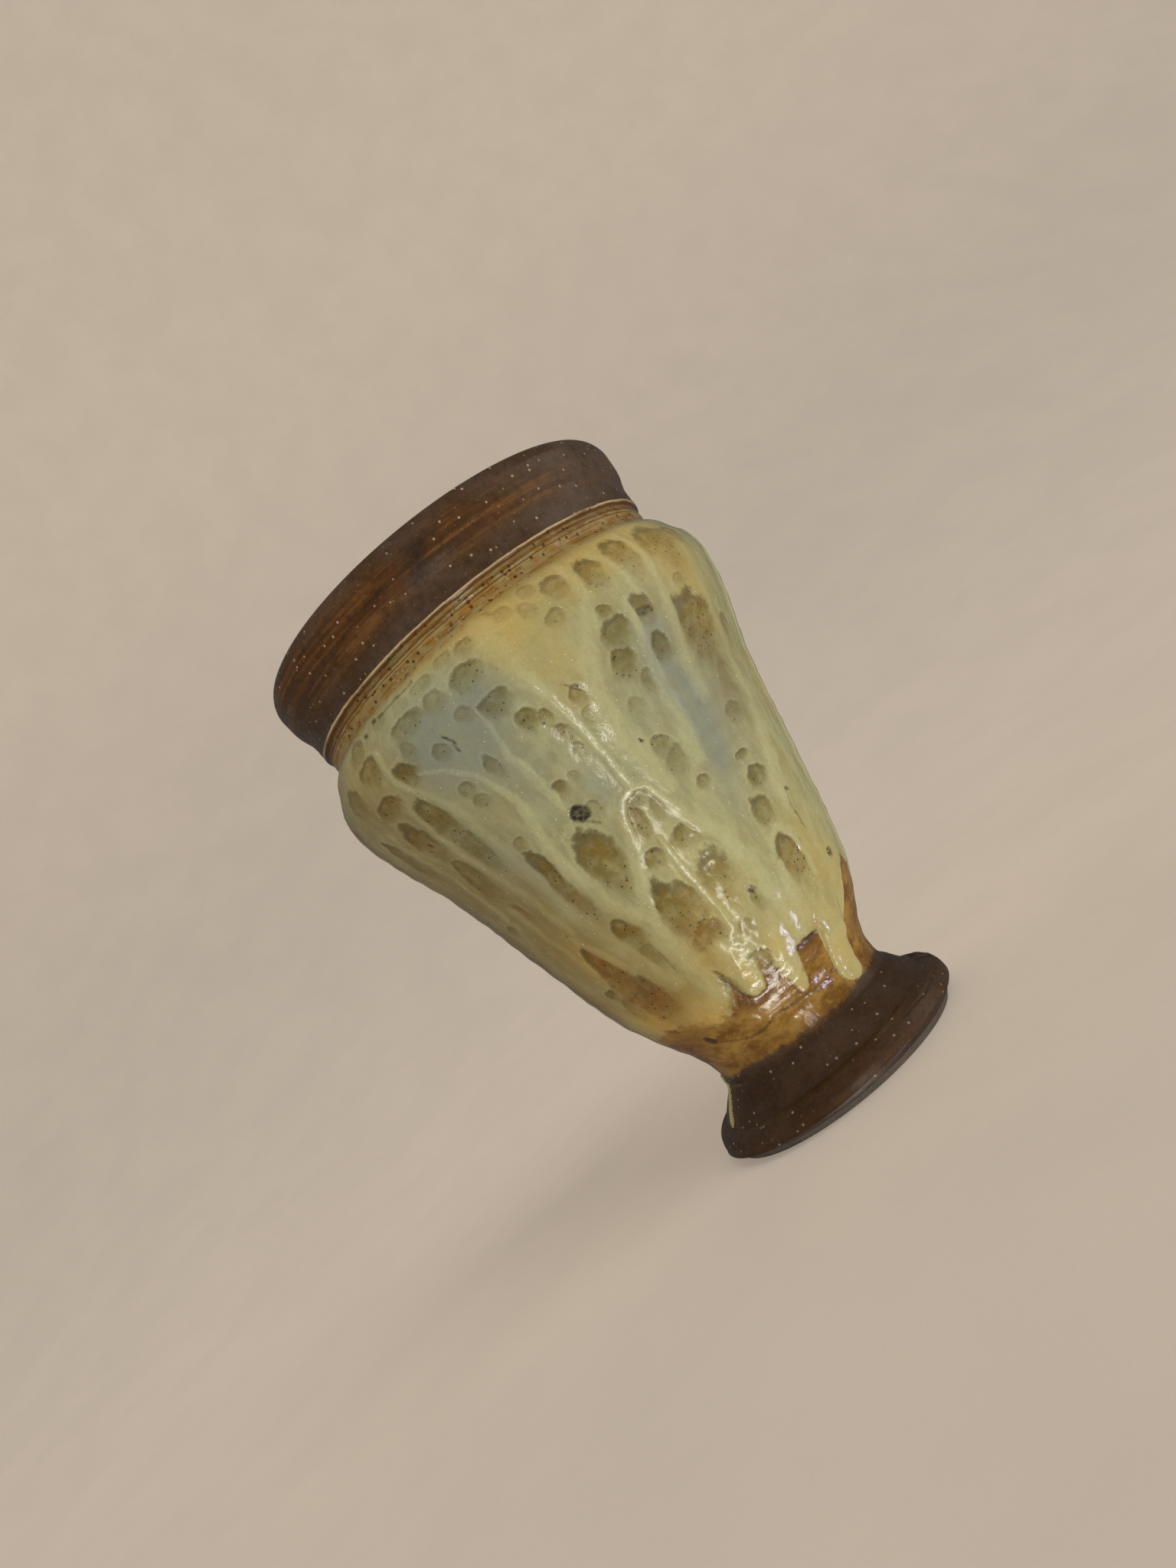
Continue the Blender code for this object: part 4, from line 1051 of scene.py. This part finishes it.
def bare_piece(name, points, context, replaced):
    """A closed turned piece of bare clay with crisp corners, painted darker as shade."""
    material = bare_stoneware(context.scene.vase_colours, "foot_clay_shaded_look", FOOT_CLAY_SHADE)
    faces = ring_faces(points).tolist()
    piece = new_piece(name, points, faces, None, {}, material, (replaced,))
    piece.data.set_sharp_from_angle(angle=CRISP_CORNER)


def row_of(height):
    """The first row of the outside at or under a height, which the pieces on both sides of a seam share."""
    heights = surface()["heights"]
    crest = int(np.argmax(heights))
    return crest + int(np.nonzero(heights[crest:] <= height + 1e-6)[0][0])


def coat_piece(name, colours):
    """A closed skin over a stretch of the outside between two heights, with its inner side under it."""
    high, low, look, slot, replaced = COATS[name]
    data = surface()
    first = 0 if high == TOP else row_of(high)
    last = row_of(low)
    outer = slice(first, last + 1)
    inner = sorted({*range(first, last + 1, SKIN_ROWS), last}, reverse=True)
    kind = "full_" if low >= BODY_END else ""
    source = data[kind + "points"]
    direction = data[kind + "normals"]
    points = np.concatenate((source[outer], source[inner] - direction[inner] * SKIN_DEPTH * MM))
    normals = np.concatenate((direction[outer], -direction[inner]))
    values = {key: np.concatenate((field[outer], field[inner])) for key, field in data["fields"].items()}
    material = glaze_look(look, colours)
    new_piece(name, points, ring_faces(points).tolist(), normals, values, material, replaced)


def drip_piece(name, material):
    """One drip, as a closed body that lies on the glaze under it and joins the coat above."""
    data = surface()
    thick = data["drips"][name]
    thickness, softness, paleness, coat_end, _ = DRIPS[name]
    rows = np.nonzero((np.arange(len(thick)) >= row_of(coat_end)) & (thick.max(axis=1) > DRIP_EDGE))[0]
    thick = thick[rows]
    block = thick > DRIP_EDGE
    quads = block[:-1] & block[1:]
    faces = slab_faces(quads & np.roll(quads, -1, axis=1))
    used = np.unique(np.concatenate([np.ravel(face) for face in faces]))
    renumber = np.zeros(2 * thick.size, int)
    renumber[used] = np.arange(len(used))
    faces = [renumber[list(face)].tolist() for face in faces]
    top = data["full_points"][rows]
    under = data["points"][rows] - data["normals"][rows] * DRIP_DEPTH * MM
    normals = data["full_normals"][rows]
    points = np.concatenate((top, under)).reshape(-1, 3)[used]
    normals = np.concatenate((normals, -normals)).reshape(-1, 3)[used]
    cover = paleness * smooth_step(0.0, softness, thick / thickness)
    values = {key: field[rows] for key, field in data["fields"].items()}
    values["pale"] = np.maximum(values["pale"], cover)
    values["run"] = np.maximum(values["run"], DRIP_RUN * cover)
    for key in DRIP_COVERS:
        values[key] = values[key] * (1 - cover)
    values = {key: np.tile(value.ravel(), 2)[used] for key, value in values.items()}
    new_piece(f"{name}_coat", points, faces, normals, values, material, (name,))


# Materials


class Nodes:
    """Short ways to add and join the nodes of one material."""

    def __init__(self, name):
        self.material = bpy.data.materials.new(name)
        self.material.use_nodes = True
        self.tree = self.material.node_tree
        self.shader = self.tree.nodes["Principled BSDF"]
        self.where = self.add("ShaderNodeTexCoord").outputs["Object"]

    def add(self, kind, inputs=None, **settings):
        """A new node with these settings, and with values or sockets at its inputs."""
        node = self.tree.nodes.new(kind)
        for name, value in settings.items():
            setattr(node, name, value)
        for name, value in (inputs or {}).items():
            self.link(value, node.inputs[name])
        return node

    def link(self, value, socket):
        if isinstance(value, bpy.types.NodeSocket):
            self.tree.links.new(value, socket)
        else:
            socket.default_value = (*value, 1.0) if socket.type == "RGBA" else value

    def field(self, name):
        return self.add("ShaderNodeAttribute", attribute_name=name).outputs["Fac"]

    def lay(self, below, above, *shares, blend="MIX"):
        """One colour laid over another, as strongly as all the shares multiplied."""
        inputs = {0: self.product(*shares), 6: below, 7: above}
        return self.add("ShaderNodeMix", inputs, data_type="RGBA", blend_type=blend).outputs[2]

    def between(self, share, below, above):
        """A number between two others."""
        return self.add("ShaderNodeMix", {0: share, 2: below, 3: above}, data_type="FLOAT").outputs[0]

    def maths(self, operation, a, b, clamp=False):
        return self.add("ShaderNodeMath", {0: a, 1: b}, operation=operation, use_clamp=clamp).outputs[0]

    def sum(self, *values):
        total = values[0]
        for value in values[1:]:
            total = self.maths("ADD", total, value)
        return total

    def product(self, *values):
        total = values[0]
        for value in values[1:]:
            total = self.maths("MULTIPLY", total, value)
        return total

    def spread(self, noise, reach):
        """Noise turned into a change of about reach each way."""
        return self.product(self.maths("SUBTRACT", noise, 0.5), 2 * reach)

    def noise(self, size, detail, rough, stretch=(1, 1, 1)):
        """Noise whose spots are about size millimetres across."""
        where = self.add("ShaderNodeMapping", {"Vector": self.where, "Scale": stretch}).outputs["Vector"]
        inputs = {"Vector": where, "Scale": 1 / (size * MM), "Detail": detail, "Roughness": rough}
        return self.add("ShaderNodeTexNoise", inputs).outputs["Fac"]

    def ramp(self, value, low, high, start=0.0, end=1.0):
        """A soft change from start, where the value is low, to end, where it is high."""
        inputs = {"Value": value, "From Min": low, "From Max": high, "To Min": start, "To Max": end}
        return self.add("ShaderNodeMapRange", inputs, interpolation_type="SMOOTHSTEP").outputs["Result"]

    def specks(self, size, reach, share=1.0):
        """Round specks, 1 inside: their spacing, their reach as a share of it, and how many of them show."""
        cells = self.add("ShaderNodeTexVoronoi", {"Vector": self.where, "Scale": 1 / (size * MM)})
        number = self.add("ShaderNodeSeparateColor", {0: cells.outputs["Color"]}).outputs[0]
        near = self.ramp(cells.outputs["Distance"], reach, reach * 0.55)
        return self.product(near, self.maths("LESS_THAN", number, share))

    def bump(self, height, depth, below=None):
        """The normal of a surface that rises and falls by so many millimetres, over another if given."""
        inputs = {"Strength": 1.0, "Distance": depth * MM, "Height": height}
        if below is not None:
            inputs["Normal"] = below
        return self.add("ShaderNodeBump", inputs).outputs["Normal"]

    def finish(self, colour, roughness, normal, coat=0.0, coat_roughness=0.05):
        looks = {
            "Base Color": colour,
            "Roughness": roughness,
            "Normal": normal,
            "Coat Weight": coat,
            "Coat Roughness": coat_roughness,
        }
        for name, value in looks.items():
            self.link(value, self.shader.inputs[name])
        return self.material


def tint(colour, share):
    """A colour made darker or lighter."""
    return tuple(share * part for part in colour)


def ash_ground(n, colours, broad, streak):
    """The ground of the pale ash glaze: streaked, with straw, warm and blue places, and olive laid on the
    flanks, partly as painted shade.
    """
    ground = n.lay(colours.grey, colours.pale, n.ramp(streak, 0.34, 0.66, 0.0, 0.55))
    ground = n.lay(ground, colours.pale, n.ramp(n.noise(7, 3, 0.6, (1, 1, 0.4)), 0.5, 0.72, 0.0, 0.4))
    straw = n.lay(colours.warm, colours.olive, 0.5)
    ground = n.lay(ground, straw, n.ramp(n.noise(8, 4, 0.6, (1, 1, 0.7)), 0.5, 0.7, 0.0, 0.45))
    # Painted shade: olive darkens the flanks where the shade places lie.
    ground = n.lay(ground, colours.olive, n.field("shade"), n.ramp(broad, 0.25, 0.6, 0.4, 0.75))
    ground = n.lay(ground, colours.warm, n.field("warm"), n.ramp(broad, 0.3, 0.65, 0.6, 0.95))
    return n.lay(ground, colours.blue, n.field("blue"), n.ramp(streak, 0.28, 0.62, 0.65, 1.0))


def ash_run_colour(n, colours, ground):
    """The colour of the thick runs: pale, drawn towards the tints round them, and dimmed to the ground in
    the painted shade on the flanks.
    """
    lit = n.lay(colours.pale, colours.warm, n.ramp(n.field("warm"), 0.1, 0.9, 0.0, 0.6))
    lit = n.lay(lit, tint(colours.blue, 1.35), n.ramp(n.field("blue"), 0.2, 1.0, 0.0, 0.75))
    # Painted shade: runs in the shade places fade to the ground.
    return n.lay(lit, ground, n.ramp(n.field("shade"), 0.05, 0.75, 0.15, 0.75))


def ash_cells(n, colours, ground, lit, edge):
    """The thin places: a pale halo, a dark inside with a darker upper edge, and blots."""
    top = n.field("top")
    thinness = n.field("thin")
    thin = n.lay(ground, colours.thin, 1.0, blend="MULTIPLY")
    thin = n.lay(thin, colours.brown, n.field("brown"), n.ramp(n.noise(5, 2, 0.5), 0.3, 0.65, 0.35, 0.95))
    shown = n.product(n.ramp(edge, 0.24, 0.78), thinness, n.ramp(top, 0.05, 0.7, 0.5, 1.0))
    shown = n.product(shown, n.ramp(n.noise(3.4, 3, 0.6), 0.4, 0.66, 1.0, 0.55))
    halo = n.product(n.ramp(edge, 0.16, 0.30), n.ramp(edge, 0.44, 0.36), thinness, n.ramp(top, 0.3, 0.9))
    crown = n.product(n.ramp(edge, 0.36, 0.54), n.ramp(edge, 0.84, 0.58), thinness, n.ramp(top, 0.45, 0.9))
    blot = n.product(n.ramp(edge, 0.5, 0.7), thinness, n.ramp(n.noise(0.8, 5, 0.75), 0.58, 0.66))
    ground = n.lay(ground, lit, halo, 0.55)
    ground = n.lay(ground, thin, shown)
    ground = n.lay(ground, tint(colours.thin, 0.13), crown, 0.62)
    return n.lay(ground, tint(colours.thin, 0.10), blot, 0.6)


def ash_specks(n, colours, ground, edge):
    """Pits in the thin places, painted glints as pale specks, painted highlights as pale lines, and dark
    pinholes.
    """
    pit = n.product(n.specks(1.9, 0.22), n.ramp(edge, 0.3, 0.7), n.field("thin"))
    ground = n.lay(ground, tint(colours.thin, 0.045), pit, 0.95)
    # Painted glints: very pale specks scattered over the glaze.
    ground = n.lay(ground, colours.glint_white, n.specks(1.9, 0.09), 0.7)
    # Painted highlights: broken pale lines where the painted glint field lies.
    broken = n.ramp(n.noise(1.1, 4, 0.7, (1, 1, 0.7)), 0.44, 0.6, 0.08, 0.85)
    ground = n.lay(ground, colours.glint_white, n.field("painted_glint"), broken)
    pin = n.product(n.specks(2.7, 0.105, 0.30), n.ramp(n.field("cell"), 0.2, 0.7, 0.35, 1.0))
    return n.lay(ground, colours.dark, pin, 0.9)


def ash_layer(n, colours):
    """The pale ash glaze: streaked and tinted ground with painted shade on the flanks, thin places, thick
    runs, specks, and painted glints and highlights.
    """
    broad = n.noise(13, 3, 0.6)
    streak = n.noise(3.2, 4, 0.6, (1, 1, 0.28))
    fine = n.noise(0.9, 4, 0.65)
    cloud = n.noise(2.2, 4, 0.65)
    ground = ash_ground(n, colours, broad, streak)
    lit = ash_run_colour(n, colours, ground)
    edge = n.sum(n.field("cell"), n.spread(cloud, 0.24), n.spread(fine, 0.07))
    ground = ash_cells(n, colours, ground, lit, edge)
    thread = n.noise(1.3, 4, 0.65, (1, 1, 0.14))
    run = n.ramp(n.sum(n.field("run"), n.spread(thread, 0.42), n.spread(cloud, 0.2)), 0.02, 1.0)
    ground = n.lay(ground, lit, run, n.ramp(thread, 0.3, 0.65, 0.5, 0.88))
    ground = n.lay(ground, tint(colours.thin, 0.25), n.ramp(fine, 0.35, 0.7, 0.0, 0.12))
    browned = n.lay(ground, colours.browning, 1.0, blend="MULTIPLY")
    ground = n.lay(ground, browned, n.field("tan"), n.ramp(broad, 0.3, 0.6, 0.75, 1.0))
    return ash_specks(n, colours, ground, edge)


def honey_layer(n, colours):
    """The amber glaze pooled round the waist, cloudy, and rusty in places."""
    pool = n.noise(7, 4, 0.6, (0.8, 0.8, 1.4))
    mottle = n.noise(1.8, 5, 0.7, (0.8, 0.8, 1.2))
    honey = n.lay(colours.amber, colours.honey, n.ramp(pool, 0.34, 0.62))
    honey = n.lay(honey, tint(colours.honey, 1.25), n.ramp(mottle, 0.30, 0.5, 0.5, 0.0))
    honey = n.lay(honey, tint(colours.amber, 0.6), n.ramp(mottle, 0.5, 0.7, 0.0, 0.35))
    honey = n.lay(honey, colours.rust, n.field("rust"), n.ramp(pool, 0.25, 0.6, 1.0, 0.6))
    return n.lay(honey, colours.dark, n.specks(2.4, 0.12, 0.3), 0.8)


def umber_layer(n, colours):
    """The dark iron glaze of the collar and foot, with rusty streaks round it and pale pinholes."""
    rings = n.noise(7, 5, 0.7, (0.16, 0.16, 5.0))
    patch = n.noise(20, 3, 0.6, (1, 1, 1.8))
    umber = n.lay(colours.umber, colours.violet, n.ramp(patch, 0.36, 0.64))
    rust = n.lay(tint(colours.rust, 0.5), colours.bright_rust, n.ramp(rings, 0.42, 0.64))
    umber = n.lay(umber, rust, n.field("rust"), n.ramp(rings, 0.3, 0.6, 0.45, 0.95))
    umber = n.lay(umber, tint(colours.umber, 0.5), n.ramp(n.noise(2.4, 5, 0.7), 0.45, 0.7, 0.0, 0.55))
    umber = n.lay(umber, tint(colours.rust, 0.9), n.ramp(n.noise(1.7, 4, 0.65), 0.55, 0.72, 0.0, 0.5))
    umber = n.lay(umber, tint(colours.umber, 0.3), n.ramp(n.noise(0.8, 3, 0.6), 0.45, 0.75, 0.0, 0.22))
    browned = n.lay(umber, colours.umber_browning, 1.0, blend="MULTIPLY")
    umber = n.lay(umber, browned, n.field("tan"))
    umber = n.lay(umber, colours.cream, n.specks(1.7, 0.11), 0.35)
    return n.lay(umber, colours.cream, n.specks(3.0, 0.145), 0.75)


def neck_layer(n, colours, below):
    """The thin ochre band, its cream ridges and its maroon grooves, laid over another colour."""
    rings = n.noise(3, 4, 0.7, (0.2, 0.2, 6.0))
    ochre = n.lay(tint(colours.amber, 1.15), tint(colours.honey, 1.1), n.ramp(rings, 0.36, 0.62))
    ochre = n.lay(ochre, colours.ochre, n.ramp(n.noise(5, 4, 0.65, (1, 1, 2)), 0.42, 0.62, 0.0, 0.7))
    ochre = n.lay(ochre, colours.maroon, n.specks(2.0, 0.29), 0.85)
    ochre = n.lay(ochre, tint(colours.cream, 0.8), n.ramp(n.noise(1.1, 4, 0.7), 0.56, 0.68, 0.0, 0.7))
    laid = n.lay(below, ochre, n.field("ochre"))
    laid = n.lay(laid, colours.maroon, n.field("groove"), 0.9)
    worn = n.ramp(n.noise(1.4, 3, 0.6), 0.3, 0.5, 0.5, 1.0)
    return n.lay(laid, tint(colours.cream, 1.35), n.field("cream"), worn)


def glaze_look(name, colours):
    """One glazed surface: all the layers, so that neighbouring pieces match where they meet."""
    if name in bpy.data.materials:
        return bpy.data.materials[name]
    n = Nodes(name)
    edge = n.sum(n.field("pale"), n.spread(n.noise(2.6, 4, 0.6), 0.7))
    colour = n.lay(honey_layer(n, colours), ash_layer(n, colours), n.ramp(edge, 0.22, 0.78))
    colour = n.lay(colour, umber_layer(n, colours), n.field("umber"))
    colour = neck_layer(n, colours, colour)
    # The dark field holds pits, cracks and dark places, and the painted shade on the foot.
    blotch = n.ramp(n.noise(1.6, 4, 0.7), 0.36, 0.58, 0.55, 1.0)
    colour = n.lay(colour, colours.dark, n.field("dark"), blotch)
    fine = n.noise(1.0, 3, 0.6)
    glossy = n.ramp(fine, 0.3, 0.7, 0.10, 0.20)
    satin = n.ramp(fine, 0.3, 0.7, 0.21, 0.33)
    roughness = n.between(n.field("umber"), glossy, satin)
    roughness = n.maths("ADD", roughness, n.product(n.field("dark"), 0.2), clamp=True)
    normal = n.bump(n.noise(2.4, 3, 0.55), 0.07)
    normal = n.bump(n.noise(0.6, 3, 0.6), 0.02, normal)
    normal = n.bump(n.noise(3, 3, 0.6, (0.12, 0.12, 3.0)), 0.04, normal)
    return n.finish(colour, roughness, normal)


def liner_look(colours):
    """The glaze inside: olive brown, darker where it is thin."""
    n = Nodes("liner_glaze_look")
    streak = n.noise(6, 4, 0.6, (1, 1, 0.3))
    colour = n.lay(colours.liner_thin, colours.liner, n.ramp(streak, 0.35, 0.65))
    colour = n.lay(colour, colours.liner_dark, n.ramp(n.noise(1.2, 3, 0.6), 0.45, 0.75, 0.0, 0.5))
    normal = n.bump(n.noise(3.0, 3, 0.5), 0.1)
    return n.finish(colour, n.ramp(streak, 0.3, 0.7, 0.18, 0.34), normal, 0.3, 0.08)


def bare_stoneware(colours, name="bare_stoneware_look", share=1.0):
    """Fired clay with grog and iron specks, made darker or lighter by a share."""
    if name in bpy.data.materials:
        return bpy.data.materials[name]
    n = Nodes(name)
    grain = n.noise(0.8, 4, 0.7)
    clay = tint(colours.clay, share)
    colour = n.lay(clay, tint(clay, 0.72), n.ramp(n.noise(9, 4, 0.6), 0.35, 0.65))
    colour = n.lay(colour, tint(clay, 0.45), n.ramp(grain, 0.5, 0.75, 0.0, 0.5))
    colour = n.lay(colour, tint(clay, 0.25), n.specks(2.2, 0.14, 0.25))
    return n.finish(colour, n.ramp(grain, 0.3, 0.7, 0.72, 0.92), n.bump(grain, 0.12))


def floor_look(settings):
    """The matt floor, faintly clouded."""
    n = Nodes("floor")
    cloudy = n.ramp(n.noise(60, 4, 0.6), 0.3, 0.7)
    colour = n.lay(settings.floor, tint(settings.floor, 0.96), cloudy)
    return n.finish(colour, 0.9, n.bump(n.noise(1.5, 3, 0.6), 0.1))


# Operators


class VASE_OT_clay(bpy.types.Operator):
    """Give the clay parts under the glazes their fired stoneware"""

    bl_idname = "vase.clay"
    bl_label = "Clay parts"

    def execute(self, context):
        material = bare_stoneware(context.scene.vase_colours)
        for name in ("body", "neck_ring", "collar"):
            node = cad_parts[name]
            node.data.materials.clear()
            node.data.materials.append(material)
        return {"FINISHED"}


class VASE_OT_coats(bpy.types.Operator):
    """Build the coats of glaze over the outside, from the lip down to the foot"""

    bl_idname = "vase.coats"
    bl_label = "Coats of glaze"

    def execute(self, context):
        for name in COATS:
            coat_piece(name, context.scene.vase_colours)
        return {"FINISHED"}


class VASE_OT_drips(bpy.types.Operator):
    """Build the thick drips that end the running glaze"""

    bl_idname = "vase.drips"
    bl_label = "Drips"

    def execute(self, context):
        material = glaze_look("drip_ash", context.scene.vase_colours)
        for name in DRIPS:
            drip_piece(name, material)
        return {"FINISHED"}


class VASE_OT_foot_ring(bpy.types.Operator):
    """Build the bare ring that the vase stands on"""

    bl_idname = "vase.foot_ring"
    bl_label = "Foot ring"

    def execute(self, context):
        data = surface()
        outer = data["points"][row_of(FOOT_END) :]
        points = np.concatenate((outer, turned_line(RING_INNER, data["degrees"])))
        bare_piece("foot_ring_clay", points, context, "foot_ring")
        return {"FINISHED"}


class VASE_OT_foot_hollow(bpy.types.Operator):
    """Build the bare clay of the pedestal, which shows in the hollow under the foot"""

    bl_idname = "vase.foot_hollow"
    bl_label = "Foot hollow"

    def execute(self, context):
        points = turned_line(PEDESTAL_CLAY, surface()["degrees"][::HOLLOW_COLUMNS])
        bare_piece("foot_pedestal_clay", points, context, "foot_pedestal")
        return {"FINISHED"}


class VASE_OT_liner(bpy.types.Operator):
    """Build the glazed inside, with the rings that the potter's fingers left"""

    bl_idname = "vase.liner"
    bl_label = "Liner glaze"

    def execute(self, context):
        columns = context.scene.vase_shape.columns
        degrees = np.arange(0, columns, LINER_COLUMNS) * 360 / columns - 180
        profile = smooth_curve(INSIDE, LINER_STEP, LINER_BLUR)
        profile[0] = INSIDE[0]
        profile[-1, 0] = 0.0
        normals = -line_normals(profile)
        heights = profile[:, 1:]
        over_floor = smooth_step(*LINER_RELIEF_IN, heights)
        rings = LINER_RING_DEPTH * np.sin(heights * math.tau / LINER_RING_PITCH)
        relief = rings * smooth_step(*LINER_RINGS_OUT, heights) * over_floor
        relief = relief + ripple("liner_waves", degrees, profile[:, 1]) * over_floor
        relief *= smooth_step(*LINER_RELIEF_OUT, heights)
        face = turned(*moved_out(profile, normals, relief), degrees)
        back = profile[::-LINER_ROWS] - SKIN_DEPTH * normals[::-LINER_ROWS]
        back[0] = (0.0, profile[-1, 1] - SKIN_DEPTH)
        back[-1] = (profile[0, 0] + SKIN_DEPTH, profile[0, 1])
        points = np.concatenate((face, turned_line(back, degrees)))
        faces = ring_faces(points)
        joins_on_axis = faces[:, 0] // len(degrees) == len(face) - 1
        faces = faces[~joins_on_axis][:, ::-1].tolist()
        material = liner_look(context.scene.vase_colours)
        piece = new_piece("liner_coat", points, faces, None, {}, material, ("liner_glaze",))
        self.join_on_axis(piece.data)
        return {"FINISHED"}

    def join_on_axis(self, mesh):
        """Make one point of those that meet on the axis."""
        edited = bmesh.new()
        edited.from_mesh(mesh)
        bmesh.ops.remove_doubles(edited, verts=edited.verts, dist=SAME_POINT * MM)
        edited.to_mesh(mesh)
        edited.free()


def add_floor(settings):
    """The floor, with a sweep up behind the vase."""
    line = [(FLOOR_NEAR, 0.0), (FLOOR_FAR, 0.0)]
    for angle in np.linspace(*SWEEP_ANGLES):
        line.append((FLOOR_FAR + SWEEP_BEND * math.sin(angle), SWEEP_BEND * (1 - math.cos(angle))))
    line.append((FLOOR_FAR + SWEEP_BEND, SWEEP_TOP))
    points = [(x, y, z) for y, z in line for x in (-FLOOR_HALF, FLOOR_HALF)]
    faces = [(2 * i, 2 * i + 1, 2 * i + 3, 2 * i + 2) for i in range(len(line) - 1)]
    mesh = bpy.data.meshes.new("floor")
    mesh.from_pydata(points, [], faces)
    mesh.shade_smooth()
    mesh.materials.append(floor_look(settings))
    floor = bpy.data.objects.new("floor", mesh)
    floor.visible_shadow = False
    floor.visible_glossy = False
    bpy.context.scene.collection.objects.link(floor)
    return floor


def add_world(settings):
    """A faint even light all round, which the camera sees in the floor's colour."""
    world = bpy.data.worlds.new("studio")
    world.use_nodes = True
    nodes = world.node_tree.nodes
    links = world.node_tree.links
    sky = nodes["Background"]
    sky.inputs["Color"].default_value = (*settings.sky_colour, 1.0)
    sky.inputs["Strength"].default_value = settings.sky
    seen = nodes.new("ShaderNodeBackground")
    seen.inputs["Color"].default_value = (*settings.floor, 1.0)
    seen.inputs["Strength"].default_value = WORLD_SEEN
    either = nodes.new("ShaderNodeMixShader")
    links.new(nodes.new("ShaderNodeLightPath").outputs["Is Camera Ray"], either.inputs[0])
    links.new(sky.outputs[0], either.inputs[1])
    links.new(seen.outputs[0], either.inputs[2])
    links.new(either.outputs[0], nodes["World Output"].inputs[0])
    bpy.context.scene.world = world


def add_lamp(name, kind, way, power, colour, lit):
    """A light that shines one way, on what a collection says."""
    light = bpy.data.lights.new(name, kind)
    light.energy = power
    light.color = colour
    lamp = bpy.data.objects.new(name, light)
    lamp.rotation_mode = "QUATERNION"
    lamp.rotation_quaternion = Vector(way).to_track_quat("-Z", "Y")
    lamp.light_linking.receiver_collection = lit
    bpy.context.scene.collection.objects.link(lamp)
    return lamp


def add_lights(settings, floor):
    """The lights of the vase, which leave the floor out, and the even lights of the floor alone."""
    unlit = bpy.data.collections.new("not_backdrop")
    unlit.objects.link(floor)
    unlit.collection_objects[0].light_linking.link_state = "EXCLUDE"
    for name, (place, target, size, setting, share, colour, kind) in LIGHTS.items():
        way = Vector(target) - Vector(place)
        lamp = add_lamp(name, "AREA", way, share * getattr(settings, setting), colour, unlit)
        lamp.location = place
        lamp.visible_camera = False
        lamp.visible_glossy = kind == "shine"
        lamp.visible_diffuse = kind == "fill"
        lamp.data.shape = "RECTANGLE"
        lamp.data.size, lamp.data.size_y = size
    lit = bpy.data.collections.new("backdrop")
    lit.objects.link(floor)
    for name, (way, share, shadow) in SUNS.items():
        lamp = add_lamp(name, "SUN", way, share * settings.backdrop_power, EVEN, lit)
        lamp.data.angle = SUN_SPREAD
        lamp.data.use_shadow = shadow


def add_camera(settings):
    """The camera, rolled so that the standing vase lies across the picture."""
    lens = bpy.data.cameras.new("camera")
    lens.sensor_width = SENSOR_WIDTH
    lens.lens = settings.lens
    lens.clip_start = NEAREST_SEEN
    camera = bpy.data.objects.new("camera", lens)
    right = Vector(CAMERA_RIGHT)
    up = Vector(CAMERA_UP)
    across = math.cos(CAMERA_ROLL) * right - math.sin(CAMERA_ROLL) * up
    along = math.sin(CAMERA_ROLL) * right + math.cos(CAMERA_ROLL) * up
    ways = [way.normalized() for way in (across, along, right.cross(up))]
    camera.matrix_world = Matrix.Translation(CAMERA_PLACE) @ Matrix(ways).transposed().to_4x4()
    bpy.context.scene.collection.objects.link(camera)
    bpy.context.scene.camera = camera
    bpy.context.scene.view_settings.view_transform = "Standard"


class VASE_OT_stage(bpy.types.Operator):
    """Set the pale floor, the soft lights and the camera"""

    bl_idname = "vase.stage"
    bl_label = "Stage"

    def execute(self, context):
        settings = context.scene.vase_stage
        floor = add_floor(settings)
        add_world(settings)
        add_lights(settings, floor)
        add_camera(settings)
        return {"FINISHED"}


class VASE_PT_panel(bpy.types.Panel):
    """Lists the steps that dress the vase"""

    bl_idname = "VASE_PT_panel"
    bl_label = "Stoneware vase"
    bl_space_type = "VIEW_3D"
    bl_region_type = "UI"
    bl_category = "Vase"

    def draw(self, context):
        for step in STEPS:
            self.layout.operator(step.bl_idname)


STEPS = (
    VASE_OT_clay,
    VASE_OT_coats,
    VASE_OT_drips,
    VASE_OT_foot_ring,
    VASE_OT_foot_hollow,
    VASE_OT_liner,
    VASE_OT_stage,
)
CLASSES = (VaseShapeSettings, GlazeColourSettings, StageSettings, *STEPS, VASE_PT_panel)


def register():
    for item in CLASSES:
        bpy.utils.register_class(item)
    bpy.types.Scene.vase_shape = PointerProperty(type=VaseShapeSettings)
    bpy.types.Scene.vase_colours = PointerProperty(type=GlazeColourSettings)
    bpy.types.Scene.vase_stage = PointerProperty(type=StageSettings)


def unregister():
    del bpy.types.Scene.vase_stage
    del bpy.types.Scene.vase_colours
    del bpy.types.Scene.vase_shape
    for item in reversed(CLASSES):
        bpy.utils.unregister_class(item)


def main():
    register()
    bpy.ops.vase.clay()
    bpy.ops.vase.coats()
    bpy.ops.vase.drips()
    bpy.ops.vase.foot_ring()
    bpy.ops.vase.foot_hollow()
    bpy.ops.vase.liner()
    bpy.ops.vase.stage()


if __name__ == "__main__":
    main()
